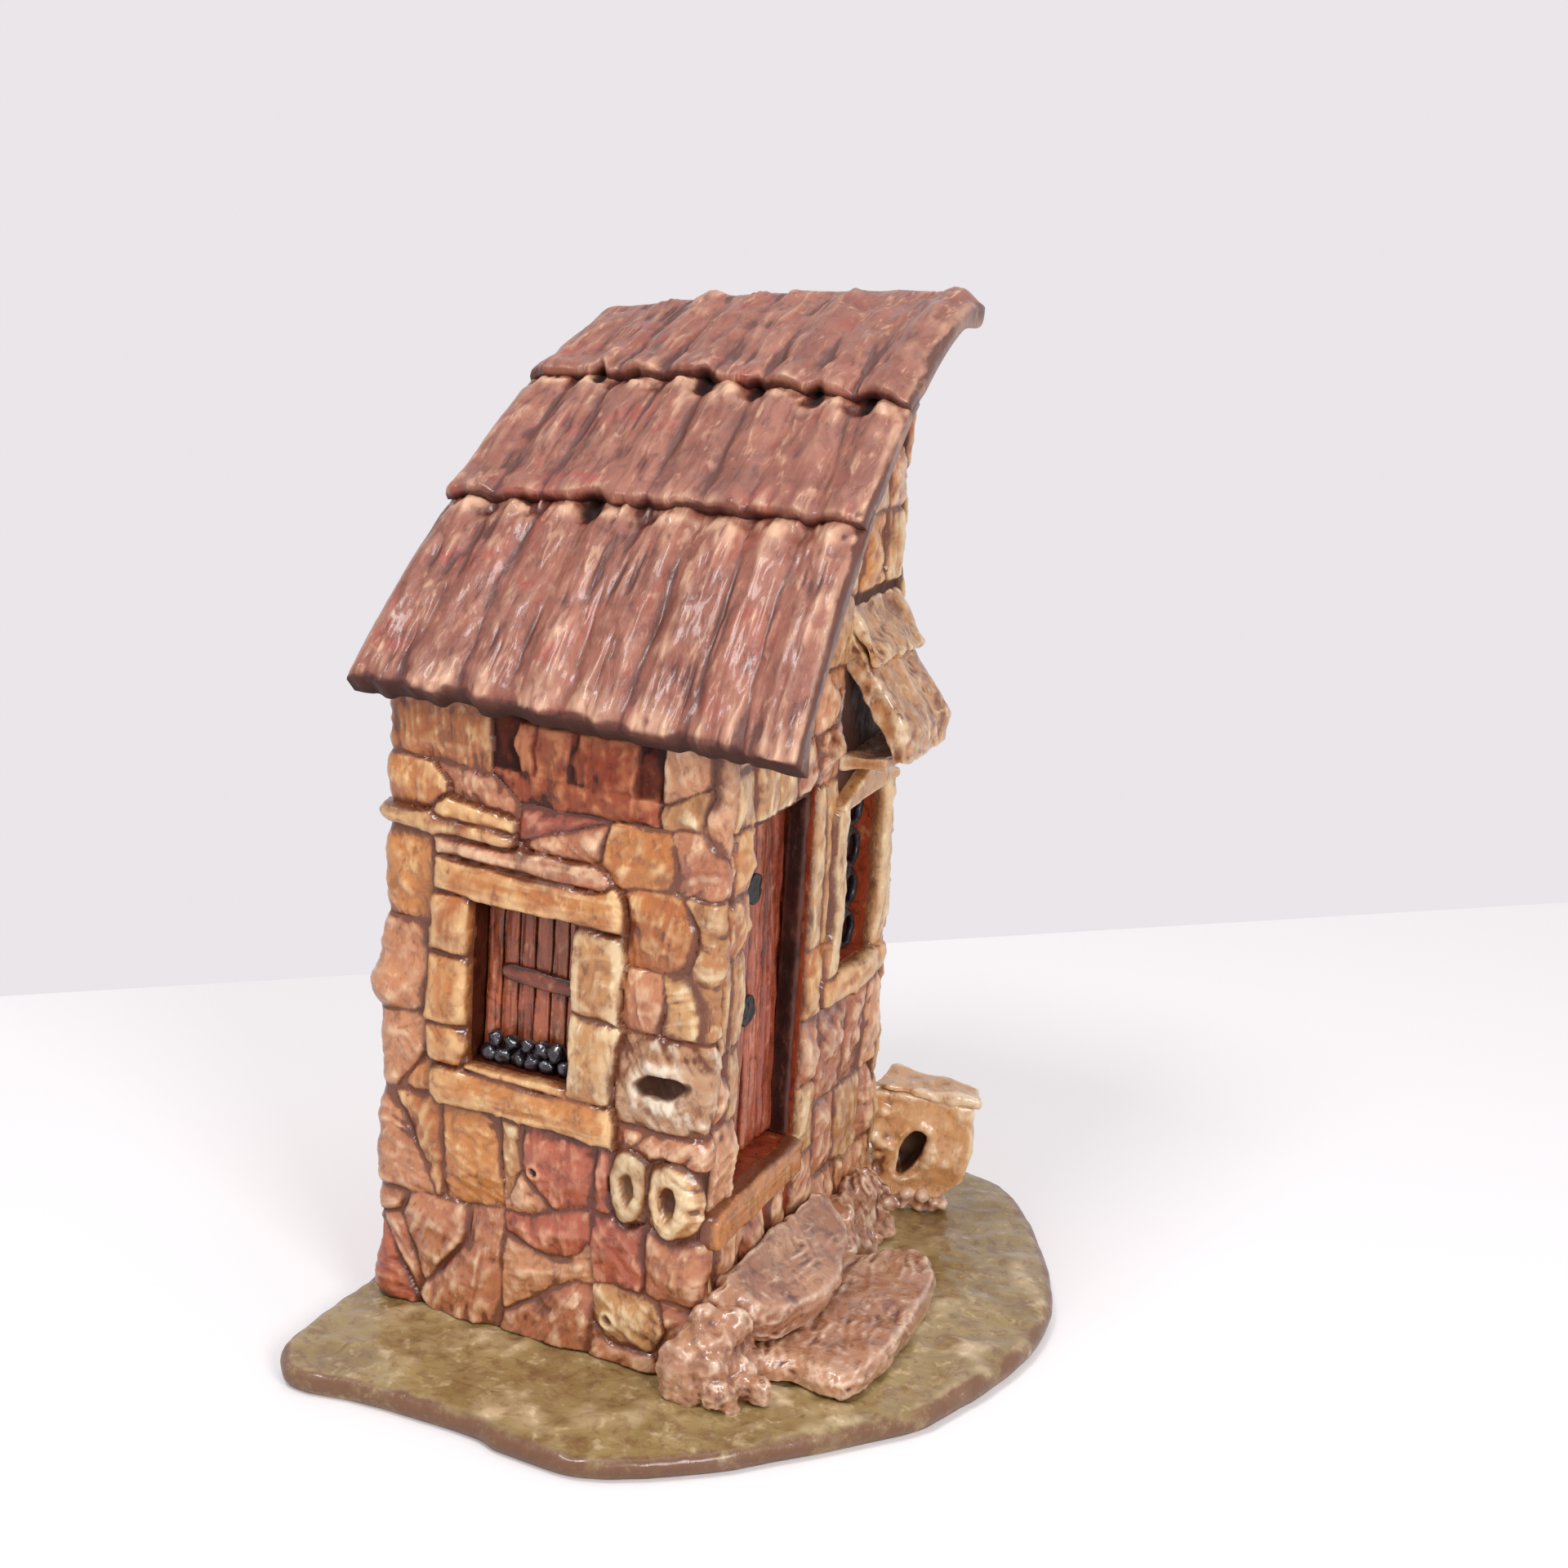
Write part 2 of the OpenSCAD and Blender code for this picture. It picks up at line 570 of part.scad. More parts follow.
// Courses that end under the sloping roof and at the leaning back wall, for a wall face at x
function sloped_course(x, y0, y1, z0, z1, length, glazes, seed) =
    let (
        start = max(y0, roof_y_at(x, z1 + 1.5) + 1),
        end = min(y1, back_outer_y(z1) - joint / 2)
    )
    plain_course(start, end, z0, z1, length, glazes, seed);

door_boxes = concat(
    panel([side_start, door_z, door_near, door_top], [
        [11, [[4, PINK]]],
        [10, [[4, PINK], [3, CREAM]]],
        [13, [[4, CREAM], [4, CREAM]]],
        [8, [[4, OCHRE]]],
        [9, [[3, PINK], [5, OCHRE]]]
    ], 201),
    panel([side_start, plinth_z, door_far, threshold_z], [
        [1, [[4, PINK], [6, PINK], [8, PINK], [6, PINK]]]
    ], 215),
    panel([door_far, plinth_z, jamb_end, door_top], [
        [10, [[9, PINK]]],
        [10, [[9, PINK]]],
        [11, [[9, CREAM]]],
        [10, [[9, PINK]]],
        [11, [[9, OCHRE]]],
        [24, [[5, CREAM], [4, CREAM]]]
    ], 223),
    panel([jamb_end, plinth_z, back_outer_y(gable_sill_z) - joint / 2, gable_sill_z], [
        [14, [[9, PINK], [11, PINK]]],
        [12, [[7, PINK], [8, CREAM], [5, PINK]]],
        [14, [[9, PINK], [6, PINK], [6, PINK]]]
    ], 251),
    sloped_course(half_w, side_start, hood_stone_y, door_top, door_top + 8, 7, [PINK, CREAM], 271),
    sloped_course(half_w, side_start, hood_stone_y, door_top + 8, door_top + 16, 8, [CREAM, PINK], 281),
    sloped_course(half_w, side_start, hood_stone_y, door_top + 16, hood_stone_z, 8, [CREAM, OCHRE], 291),
    sloped_course(half_w, side_start, ridge_y, hood_stone_z, hood_stone_z + 9, 8, [CREAM, OCHRE], 301),
    sloped_course(half_w, side_start, ridge_y, hood_stone_z + 9, hood_stone_z + 18, 8, [CREAM, PINK], 311)
);

// Left wall and back wall: plain courses of a given height
course_h = 11.5;
course_count = floor((eave_z + rise_left - plinth_z) / course_h);
left_top = roof_z_at(-half_w, back_inner_y(eave_z + rise_left * 0.87)) - 2;
left_boxes = [
    for (i = [0 : course_count])
        let (
            z0 = plinth_z + i * course_h,
            z1 = min(z0 + course_h, left_top),
            length = mix(9, 13, wobble(i))
        )
        if (z1 - z0 > course_h / 2)
            each sloped_course(-half_w, side_start, ridge_y, z0, z1, length, [OCHRE], 401 + i * 11)
];
back_boxes = [
    for (i = [0 : course_count - 1])
        let (z0 = plinth_z + i * course_h, length = mix(10, 14, wobble(i + 3)))
        each plain_course(-half_w, half_w, z0, z0 + course_h, length, [OCHRE], 501 + i * 11)
];

// Ground slab: an uneven yard outline with a small step in its front edge
slab_outline = closed_curve([
    [-half_w - yard_left, front_y - yard_front * 0.83],
    [-half_w + 12, front_y - yard_front * 0.94],
    [win_x + 8.5, front_y - yard_front * 0.95],
    [win_x + 11, front_y - yard_front],
    [half_w - 3, front_y - yard_front],
    [half_w + yard_right * 0.3, front_y - yard_front * 0.61],
    [half_w + yard_right * 0.6, front_y - yard_front * 0.08],
    [half_w + yard_right * 0.85, front_y * 0.66],
    [half_w + yard_right, back_reach * 0.16],
    [half_w + yard_right * 0.92, back_reach * 0.92],
    [half_w + yard_right * 0.55, back_reach + yard_back * 0.78],
    [half_w + yard_right * 0.2, back_reach + yard_back * 1.08],
    [-half_w * 0.2, back_reach + yard_back],
    [-half_w * 0.85, back_reach + yard_back * 0.7],
    [-half_w - yard_left, back_reach * 0.9],
    [-half_w - yard_left, 0]
], 4);
rim_shift = slab_rim * 0.8;
// The rim stands in by a fixed width along the line towards the middle of the yard
yard_middle = [half_w * 0.6, 0];
function rim_point(p, shift) = let (d = yard_middle - p) p + d / norm(d) * shift;
foot_shift = slab_foot * 1.6;

module ground_slab() {
    color(GRASS_COLOR) {
        linear_extrude(slab_foot) polygon([for (p = slab_outline) rim_point(p, foot_shift)]);
        translate([0, 0, slab_foot])
            linear_extrude(slab_t - slab_rim - slab_foot) polygon(slab_outline);
        translate([0, 0, slab_t - slab_rim])
            linear_extrude(slab_rim) polygon([for (p = slab_outline) rim_point(p, rim_shift)]);
    }
}

// Tops of the walls follow the roof's underside
stations = 10;
function along(a, b) = [for (i = [0 : stations]) mix(a, b, i / stations)];

module front_wall() {
    top = [for (x = along(half_w, -half_w)) [x, roof_z_at(x, front_y) - seat]];
    color(CLAY_COLOR) on_front() translate([0, 0, -wall_t]) linear_extrude(wall_t) difference() {
        polygon(concat([[-half_w, slab_t], [half_w, slab_t]], top));
        translate([win_left, win_z]) square([win_w, win_h]);
    }
}

// Outline of a side wall between the front wall and the leaning back wall, for a wall around x
function side_outline(x) =
    let (
        z_back = roof_z_at(x, back_inner_y(eave_z + rise_left)) - seat,
        start = front_y + wall_t,
        end = back_inner_y(z_back)
    )
    concat(
        [[start, slab_t], [back_reach, slab_t]],
        [for (y = along(end, start))
            [y, min(roof_z_at(x - wall_t / 2, y), roof_z_at(x + wall_t / 2, y)) - seat]]
    );

module door_wall() {
    color(CLAY_COLOR) on_right() translate([0, 0, -wall_t]) linear_extrude(wall_t) difference() {
        polygon(side_outline(half_w - wall_t / 2));
        translate([door_near, door_z]) square([door_w, door_h]);
        translate([gable_near, gable_z]) square([gable_w, gable_h]);
    }
}

module left_wall() {
    outline = [for (p = side_outline(-half_w + wall_t / 2)) [-p[0], p[1]]];
    color(CLAY_COLOR) on_left() translate([0, 0, -wall_t]) linear_extrude(wall_t) polygon(outline);
}

module back_wall() {
    top = [
        for (x = along(-half_w, half_w))
            let (z = roof_z_at(x, back_inner_y(eave_z + rise_left)) - seat - wall_t * sin(back_lean))
            [-x, slab_t + (z - slab_t) / cos(back_lean)]
    ];
    color(CLAY_COLOR) on_back() translate([0, 0, -wall_t])
        linear_extrude(wall_t) polygon(concat([[-half_w, slab_t], [half_w, slab_t]], top));
}

// Roof courses: three arched sheets of barrel tiles, each lapped on the one below
lap_t = course_lap / roof_run;
lap_rise = tile_t + seat;
facets = 5;
function course_t(k, u) =
    k == 0 ? 0 : k == 1 ? mix(joint_low_left, joint_low_right, u)
        : k == 2 ? mix(joint_up_left, joint_up_right, u) : 1;
// Stations along the slope: lip, end of the lap, foot of the ramp, body and upper end
function course_rows(k, u) =
    let (a = course_t(k, u), b = course_t(k + 1, u), ramp = a + lap_t * 2.4)
    concat(
        [a, a + lap_t * 0.5, a + lap_t * 1.3, ramp],
        k == 2
            ? [mix(ramp, b, 0.35), mix(ramp, b, 0.7), mix(ramp, b, 0.92), b]
            : [mix(ramp, b, 0.4), mix(ramp, b, 0.75), b, b + lap_t]
    );
row_hollow = [1, 0.6, 0, 0, 0, 0, 0, 0];
row_lift = [1, 1, 1, 0, 0, 0, 0, 0];
row_barrel = [1, 1, 1, 1, 1, 1, 0.15, 0];
ridge_barrel = [1, 1, 1, 1, 1, 1, 0.8, 0.3];
function row_thick(k, r) =
    r == 0 ? lip_t : k == 2 && r == 6 ? tile_t * 1.25 : k == 2 && r == 7 ? lip_t : tile_t;
function barrel(c) = pow(max(0, sin(180 * c)), 0.7);
function tile_point(k, r, u, lift) =
    let (t = course_rows(k, u)[r], a = roof_slope(u, min(t, 0.985)))
    roof_point(u, t) + lift * [0, -sin(a), cos(a)];

module roof_course(k) {
    cols = barrels * facets;
    columns = [for (c = [0 : cols]) [c / cols, barrel(c % facets / facets), floor(c / facets)]];
    function under(r, g) = (k == 0 ? 0 : lap_rise * row_lift[r]) + lip_hollow * row_hollow[r] * g[1];
    function over(r, g) =
        let (share = k == 2 ? ridge_barrel[r] : row_barrel[r])
        (k == 0 ? 0 : lap_rise * row_lift[r]) + row_thick(k, r)
            + barrel_h * share * g[1] * mix(0.8, 1.15, wobble(g[2] + k * 9));
    top = [for (r = [0 : 7]) [for (g = columns) tile_point(k, r, g[0], over(r, g))]];
    bottom = [for (r = [0 : 7]) [for (g = columns) tile_point(k, r, g[0], under(r, g))]];
    color(ROOF_COLOR) sheet(top, bottom);
}

module roof_lower_course() {
    roof_course(0);
}
module roof_middle_course() {
    roof_course(1);
}
module roof_upper_course() {
    roof_course(2);
}

// Front wall pieces
module front_ochre_stones() {
    color(OCHRE_COLOR) on_front() stones_of(front_boxes, OCHRE);
}
module front_cream_stones() {
    color(CREAM_COLOR) on_front() stones_of(front_boxes, CREAM);
}
module front_pink_stones() {
    color(PINK_COLOR) on_front() stones_of(front_boxes, PINK);
}
module front_red_stones() {
    color(RED_COLOR) on_front() stones_of(front_boxes, RED);
}

// Two oval ring stones at the right foot of the sill
ring_wall = 1.5;
function oval(w, h) = [for (a = [0 : 15 : 345]) [w / 2 * cos(a), h / 2 * sin(a)]];

module ring_stones() {
    middle_x = mix(ring_left, ring_right, 0.45);
    // [left end, right end, foot]
    rings = [
        [ring_left, middle_x - joint / 2, ring_z + 1.2],
        [middle_x + joint / 2, ring_right, ring_z + joint / 2]
    ];
    color(CREAM_COLOR) on_front()
        for (r = rings) {
            w = r[1] - r[0];
            h = sill_z - joint - r[2];
            translate(settle([(r[0] + r[1]) / 2, r[2] + h / 2]))
                linear_extrude(stone_t) difference() {
                    polygon(oval(w, h));
                    polygon(oval(w - 2 * ring_wall, h - 2.4 * ring_wall));
                }
        }
}

// The pale stone with a lens-shaped split
module split_stone() {
    gap = joint / 2;
    box = [corner_right_x + gap, split_z + gap, stone_x - gap, split_z + split_h - gap];
    middle = [(box[0] + box[2]) / 2, (box[1] + box[3]) / 2];
    color(CREAM_COLOR) on_front() linear_extrude(stone_t) difference() {
        polygon(stone_outline(box, 171));
        translate(settle(middle)) rotate(6) polygon(oval((box[2] - box[0]) * 0.62, split_h * 0.22));
    }
}

// Brick strip under the eave, with slits between the brick heads
brick_count = 7;
slit_w = 0.9;
slit_d = 0.8;
// The first brick is cut back at its foot
brick_cut = 3.4;

module eave_bricks() {
    x0 = bricks_left + joint / 2;
    x1 = bricks_right - joint / 2;
    z0 = bricks_z + joint / 2;
    z1 = bricks_z + bricks_h - joint / 2;
    z_slit = mix(z0, z1, 0.45);
    heads = [for (i = [0 : brick_count]) mix(x0, x1, i / brick_count)];
    foot = [for (i = [0 : brick_count]) [heads[i], z0 + (i == 0 ? brick_cut : 0)]];
    head = [for (i = [brick_count : -1 : 0]) [heads[i], z1]];
    color(RED_COLOR) on_front() difference() {
        linear_extrude(stone_t) polygon(crooked(concat(foot, head)));
        for (i = [1 : brick_count - 1])
            translate([0, 0, stone_t - slit_d]) linear_extrude(stone_t)
                polygon(crooked([
                    [heads[i] - slit_w / 2, z_slit], [heads[i] + slit_w / 2, z_slit],
                    [heads[i] + slit_w / 2, z1 + 1], [heads[i] - slit_w / 2, z1 + 1]
                ]));
    }
}

module cornice_ledges() {
    middle_z = cornice_z + cornice_t;
    lower = [-stone_x, cornice_z, cornice_x - joint, middle_z];
    upper = [corner_left_x + joint, middle_z + joint, cornice_x, middle_z + cornice_t + joint / 2];
    color(OCHRE_COLOR) on_front() {
        stone(lower, 181, board_out);
        stone(upper, 183, board_out * 0.8);
    }
}

module window_lintel() {
    box = [jamb_left_x - 0.3, lintel_z + joint / 2, jamb_right_x + 0.3, lintel_z + lintel_h];
    color(OCHRE_COLOR) on_front() stone(box, 185, board_out);
}

module lintel_board() {
    box = [jamb_left_x - 0.3, board_z, corner_right_x - 2.4 - joint, boards_top];
    color(RED_COLOR) on_front() stone(box, 187, board_out * 0.85);
}

// Jamb blocks: [share of the jamb's height at the foot, share at the head]
module jamb_blocks(x0, x1, parts, seed) {
    for (i = [0 : len(parts) - 1]) {
        z0 = mix(ledge_z, lintel_z, parts[i][0]);
        z1 = mix(ledge_z, lintel_z, parts[i][1]);
        stone([x0, z0 + joint / 2, x1, z1 - joint / 2], seed + i, board_out);
    }
}

module window_left_jamb() {
    color(OCHRE_COLOR) on_front()
        jamb_blocks(jamb_left_x, win_left - joint / 2, [[0, 0.23], [0.23, 0.65], [0.65, 1]], 189);
}
module window_right_jamb() {
    color(CREAM_COLOR) on_front()
        jamb_blocks(win_right + joint / 2, jamb_right_x, [[0, 0.5], [0.5, 1]], 193);
}
module window_sill() {
    box = [jamb_left_x + joint, sill_z, jamb_right_x + joint * 1.6, sill_z + sill_h];
    color(OCHRE_COLOR) on_front() stone(box, 195, board_out);
}
module sill_ledge() {
    box = [win_left + joint / 2, ledge_z, win_right - joint / 2, win_z - joint / 3];
    color(OCHRE_COLOR) on_front() stone(box, 197, board_out * 0.9);
}

// Planked panel in an opening: grooves between the planks
groove_w = 0.5;
groove_d = 0.5;
module planked(w, h, t, planks) {
    difference() {
        cube([w, h, t]);
        for (i = [1 : planks - 1])
            translate([w * i / planks - groove_w / 2, -seat, t - groove_d])
                cube([groove_w, h + 2 * seat, t]);
    }
}

module shutter() {
    color(DARK_COLOR) on_front() translate([win_left + seat, win_z + seat, -shutter_in - shutter_t])
        planked(win_w - 2 * seat, win_h - 2 * seat, shutter_t, shutter_planks);
}

batten_h = 2.2;
batten_t = 0.7;
module shutter_batten() {
    box = [win_left + 3, win_z + win_h * 0.5, win_right - 1, win_z + win_h * 0.5 + batten_h];
    color(DARK_COLOR) on_front() translate([0, 0, -shutter_in]) stone(box, 199, batten_t);
}

// Flower beads in two staggered rows on the foot of the opening
module window_flowers() {
    pitch = 2 * bead_r + 0.1;
    n = floor((win_w - 2 * seat) / pitch);
    depth = -shutter_in + bead_r + seat / 2;
    start = win_x - (n - 1) * pitch / 2;
    color(BLACK_COLOR) on_front() {
        for (i = [0 : n - 1])
            translate([start + i * pitch, win_z + bead_r + 0.05, depth]) sphere(bead_r, $fn = 24);
        for (i = [0 : n - 2])
            translate([start + (i + 0.5) * pitch, win_z + bead_r * 2.85, depth]) sphere(bead_r, $fn = 24);
    }
}

// Door wall pieces
module door_wall_ochre_stones() {
    color(OCHRE_COLOR) on_right() stones_of(door_boxes, OCHRE);
}
module door_wall_cream_stones() {
    color(CREAM_COLOR) on_right() stones_of(door_boxes, CREAM);
}
module door_wall_pink_stones() {
    color(PINK_COLOR) on_right() stones_of(door_boxes, PINK);
}

// The leaf stands clear of the front wall's end
leaf_near = max(door_near, front_y + wall_t) + seat;
leaf_w = door_far - seat - leaf_near;

// Dark lining of the far side and the head of the door opening
module door_frame() {
    depth = leaf_in - seat;
    color(DARK_COLOR) on_right() translate([0, 0, -leaf_in]) {
        translate([door_far - lining_t - seat / 2, door_z + seat / 2, 0])
            cube([lining_t, door_h - seat, depth]);
        translate([leaf_near, door_top - lining_t - seat / 2, 0])
            cube([leaf_w - lining_t + seat / 2, lining_t, depth]);
    }
}

module door_leaf() {
    color(RED_COLOR) on_right() translate([leaf_near, door_z + seat, -leaf_in - leaf_t - seat / 2])
        planked(leaf_w, door_h - 2 * seat, leaf_t, leaf_planks);
}

strap_l = 9;
strap_w = 3;
strap_t = 0.8;
module door_hinges() {
    color(BLACK_COLOR) on_right()
        for (share = [0.43, 0.77])
            translate([leaf_near, door_z + door_h * share, -leaf_in]) {
                translate([0, -strap_w / 2, 0]) cube([strap_l, strap_w, strap_t]);
                translate([strap_l, 0, 0]) cylinder(r = strap_w * 0.75, h = strap_t, $fn = 32);
            }
}

module threshold() {
    box = [side_start + joint / 2, threshold_z + joint / 2, door_far - joint / 2, door_z - joint / 2];
    color(OCHRE_COLOR) on_right() stone(box, 231, threshold_out);
}

pane_in = 2.4;
pane_t = 1.2;
module gable_pane() {
    color(DARK_COLOR) on_right() translate([gable_near + seat, gable_z + seat, -pane_in - pane_t])
        cube([gable_w - 2 * seat, gable_h - 2 * seat, pane_t]);
}

// Scroll lattice: two columns of rings in front of the pane
module gable_lattice() {
    rows = 4;
    step_x = gable_w / 2;
    step_y = gable_h / rows;
    ring_r = min(step_x, step_y) / 2 - lattice_r - 0.08;
    depth = -pane_in + lattice_r + 0.05;
    color(BLACK_COLOR) on_right()
        for (i = [0, 1], k = [0 : rows - 1])
            translate([gable_near + step_x * (i + 0.5), gable_z + step_y * (k + 0.5), depth])
                rotate_extrude($fn = 32) translate([ring_r, 0]) circle(lattice_r, $fn = 16);
}

module gable_boards() {
    color(CREAM_COLOR) on_right() {
        stone([gable_side_near + joint / 2, gable_z, gable_near - joint / 2, gable_top], 241, board_out);
        stone([gable_far + joint / 2, gable_z, gable_side_far - joint / 2, gable_top], 243, board_out);
    }
}

module gable_lintel() {
    foot = gable_top + joint / 2;
    color(CREAM_COLOR) on_right() linear_extrude(board_out + 0.6)
        polygon(crooked([[gable_side_near, foot], [gable_side_far, foot], [gable_side_far, foot + 1.2],
            [gable_y - 1, foot + gable_lintel_h], [gable_side_near, foot + 1.2]]));
}

module gable_sill() {
    box = [gable_side_near, gable_sill_z + joint / 2, gable_side_far, gable_z - joint / 2];
    color(OCHRE_COLOR) on_right() stone(box, 247, board_out * 1.15);
}

// Hood over the gable window: a steep slab, a shorter slab lapped on it and a floor
hood_slope = atan2(hood_drop, hood_out);
hood_normal = [sin(hood_slope), cos(hood_slope)];
hood_along = [cos(hood_slope), -sin(hood_slope)];
lap_slab_l = 7;
lap_slab_share = 0.55;

module along_hood(outline) {
    translate([half_w, hood_far, 0]) rotate([90, 0, 0])
        linear_extrude(hood_far - hood_near) polygon(outline);
}

module hood_slab() {
    edge = [hood_out, hood_edge_z];
    inner = edge - hood_normal * hood_t;
    inner_wall = inner[1] + inner[0] * tan(hood_slope);
    color(OCHRE_COLOR) along_hood([
        [0, hood_top_z], [0, inner_wall], inner, [inner[0], hood_edge_z - hood_lip],
        [hood_out - 0.3, hood_edge_z - hood_lip], edge
    ]);
}

module hood_upper_slab() {
    start = [0, hood_top_z + seat / hood_normal[1]];
    end = start + hood_along * lap_slab_l;
    outer = end + hood_normal * hood_t * lap_slab_share;
    color(PINK_COLOR) along_hood([start, end, outer, [0, outer[1] + outer[0] * tan(hood_slope)]]);
}

module hood_floor() {
    reach = hood_out - hood_normal[0] * hood_t - seat;
    color(CREAM_COLOR) along_hood([
        [0, hood_floor_z], [reach, hood_floor_z + 0.8], [reach, hood_floor_z + 0.8 + hood_floor_t],
        [0, hood_floor_z + hood_floor_t]
    ]);
}

// Yard pieces stand on the ground slab, clear of the door wall's stones
yard_x = stone_x + seat;
step_reach = yard_right * 0.58;
step_run = 20;
// The steps lie a little nearer to the front than the middle of the door
step_y = door_y - 4;
// Outline points as shares of the reach from the wall and of the run along it
function step_points(shares) = [for (p = shares) [yard_x + step_reach * p[0], step_y + step_run * p[1]]];
step_low = closed_curve(step_points([
    [0.02, -0.57], [0.3, -0.58], [0.55, -0.45], [0.9, -0.5], [1, -0.05], [0.98, 0.55],
    [0.86, 1.3], [0.62, 1.57], [0.38, 1.42], [0.24, 1.25], [0.02, 1.2]
]), 2);
step_up = closed_curve(step_points([
    [0.02, -0.54], [0.16, -0.55], [0.32, -0.44], [0.42, -0.1], [0.46, 0.3],
    [0.42, 0.68], [0.3, 1], [0.14, 1.08], [0.02, 1.05]
]), 2);
step_up_reach = step_reach * 0.55;
// Shrinks a flagstone's outline towards its middle by a share
function middle_of(p) = [for (k = [0, 1]) total([for (q = p) q[k]]) / len(p)];
function drawn_in(p, share) = let (m = middle_of(p)) [for (q = p) mix(q, m, share)];

module lower_step() {
    top = slab_t + step_low_h;
    color(ROCK_COLOR) loft([
        [for (p = drawn_in(step_low, 0.02)) [p[0], p[1], slab_t]],
        [for (p = step_low) [p[0], p[1], mix(slab_t, top, 0.6)]],
        [for (p = drawn_in(step_low, 0.06)) [p[0], p[1], top]]
    ]);
}

module upper_step() {
    foot = slab_t + step_low_h;
    function head(x) = foot + step_up_h + step_up_tilt * (1 - (x - yard_x) / step_up_reach);
    color(ROCK_COLOR) loft([
        [for (p = drawn_in(step_up, 0.16)) [p[0], p[1], foot]],
        [for (p = step_up) [p[0], p[1], mix(foot, head(p[0]), 0.75)]],
        [for (p = drawn_in(step_up, 0.08)) [p[0], p[1], head(p[0])]]
    ]);
}

// A boulder: [x, y, radius, height]
module boulder(b, seed) {
    sides = 9;
    function lump(i, z) = z > 0 ? b[3] * 0.08 * wobble(seed + i * 3) : 0;
    function ring(share, z) = [
        for (i = [0 : sides - 1])
            let (r = b[2] * share * mix(0.82, 1, wobble(seed + i)), a = i * 360 / sides)
            [b[0] + r * cos(a), b[1] + r * sin(a), slab_t + z + lump(i, z)]
    ];
    loft([ring(0.9, 0), ring(1, b[3] * 0.35), ring(0.86, b[3] * 0.75), ring(0.5, b[3] * 0.92)]);
}

module corner_rocks() {
    rocks = [
        [half_w - 0.5, front_y - 4.3, 2.6, 8], [yard_x + 2.8, front_y - 1.5, 2.8, 9.5],
        [yard_x + 9.5, front_y - 0.7, 2, 4.5]
    ];
    color(ROCK_COLOR) for (i = [0 : len(rocks) - 1]) boulder(rocks[i], 601 + i * 13);
}

module wall_rocks() {
    rocks = [
        [yard_x + 2.4, step_y + 28, 2.4, 10], [yard_x + 2.5, step_y + 33, 2.5, 13],
        [yard_x + 2.3, step_y + 37.8, 2.3, 16], [yard_x + 2, step_y + 42.2, 2, 12]
    ];
    color(ROCK_COLOR) for (i = [0 : len(rocks) - 1]) boulder(rocks[i], 661 + i * 13);
}

// Garden oven at the back corner: a wedge-shaped box with a leaf-shaped mouth, a cover slab and feet.
// Its face is turned towards the front of the yard.
oven_x = half_w - 0.5;
oven_y = back_reach + 6.6;
oven_turn = 23;
oven_foot_h = 2;
oven_z = slab_t + oven_foot_h;
oven_mouth_w = 4.6;
oven_mouth_h = 8.4;
oven_mouth_d = 5;
oven_mouth_x = oven_w * 0.4;
oven_tilt_h = 1.8;
oven_end = 3.5;
oven_body_h = oven_h - oven_foot_h;
oven_mouth_z = oven_body_h * 0.45;

// Plan of the oven with an overhang around it
function oven_plan(out) =
    let (
        along = [cos(oven_turn), sin(oven_turn)],
        inward = [-along[1], along[0]]
    )
    [
        [-out, 0] - inward * out,
        along * (oven_w + out) - inward * out,
        along * (oven_w + out) + inward * (oven_end + out),
        [-out, oven_d + out]
    ];

module on_oven_face() {
    translate([oven_x, oven_y, oven_z]) rotate([90, 0, oven_turn]) children();
}

module oven_body() {
    h = oven_body_h;
    outline = [[-oven_d, 0], [oven_w * 0.72, 0], [oven_w * 0.94, h * 0.18], [oven_w, h * 0.45],
        [oven_w - 0.2, h], [-oven_d, h + oven_tilt_h * (1 + oven_d / oven_w)]];
    leaf = [
        for (a = [0 : 20 : 340])
            [oven_mouth_w / 2 * sin(a) * abs(sin(a / 2)), -oven_mouth_h / 2 * cos(a)]
    ];
    color(OCHRE_COLOR) difference() {
        intersection() {
            translate([oven_x, oven_y, oven_z]) linear_extrude(2 * h) polygon(oven_plan(0));
            on_oven_face() translate([0, 0, -2 * oven_d]) linear_extrude(4 * oven_d) polygon(outline);
        }
        on_oven_face() translate([oven_mouth_x, oven_mouth_z, -oven_mouth_d]) rotate(-24)
            linear_extrude(oven_mouth_d + 2) polygon(leaf);
    }
}

module oven_top() {
    foot = oven_body_h + seat / 2;
    slab = [
        [-oven_d, foot + oven_tilt_h * (1 + oven_d / oven_w)],
        [oven_w + 2, foot - oven_tilt_h * 2 / oven_w],
        [oven_w + 2, foot + oven_top_t - oven_tilt_h * 2 / oven_w],
        [-oven_d, foot + oven_top_t + oven_tilt_h * (1 + oven_d / oven_w)]
    ];
    color(OCHRE_COLOR) intersection() {
        translate([oven_x, oven_y, oven_z]) linear_extrude(3 * oven_body_h) polygon(oven_plan(0.7));
        on_oven_face() translate([0, 0, -2 * oven_d]) linear_extrude(4 * oven_d) polygon(slab);
    }
}

oven_foot_r = 1.5;
module oven_feet() {
    color(ROCK_COLOR) translate([oven_x, oven_y, slab_t])
        for (spot = [[1.9, 2.6], [1.8, oven_d * 0.72], [oven_w * 0.6, oven_w * 0.36]])
            translate(spot) cylinder(r = oven_foot_r, h = oven_foot_h, $fn = 24);
}

module left_wall_stones() {
    turned = [for (s = left_boxes) [[-s[0][2], s[0][1], -s[0][0], s[0][3]], s[1], s[2]]];
    color(OCHRE_COLOR) on_left() stones(turned);
}
module back_wall_stones() {
    color(OCHRE_COLOR) on_back() stones(back_boxes);
}

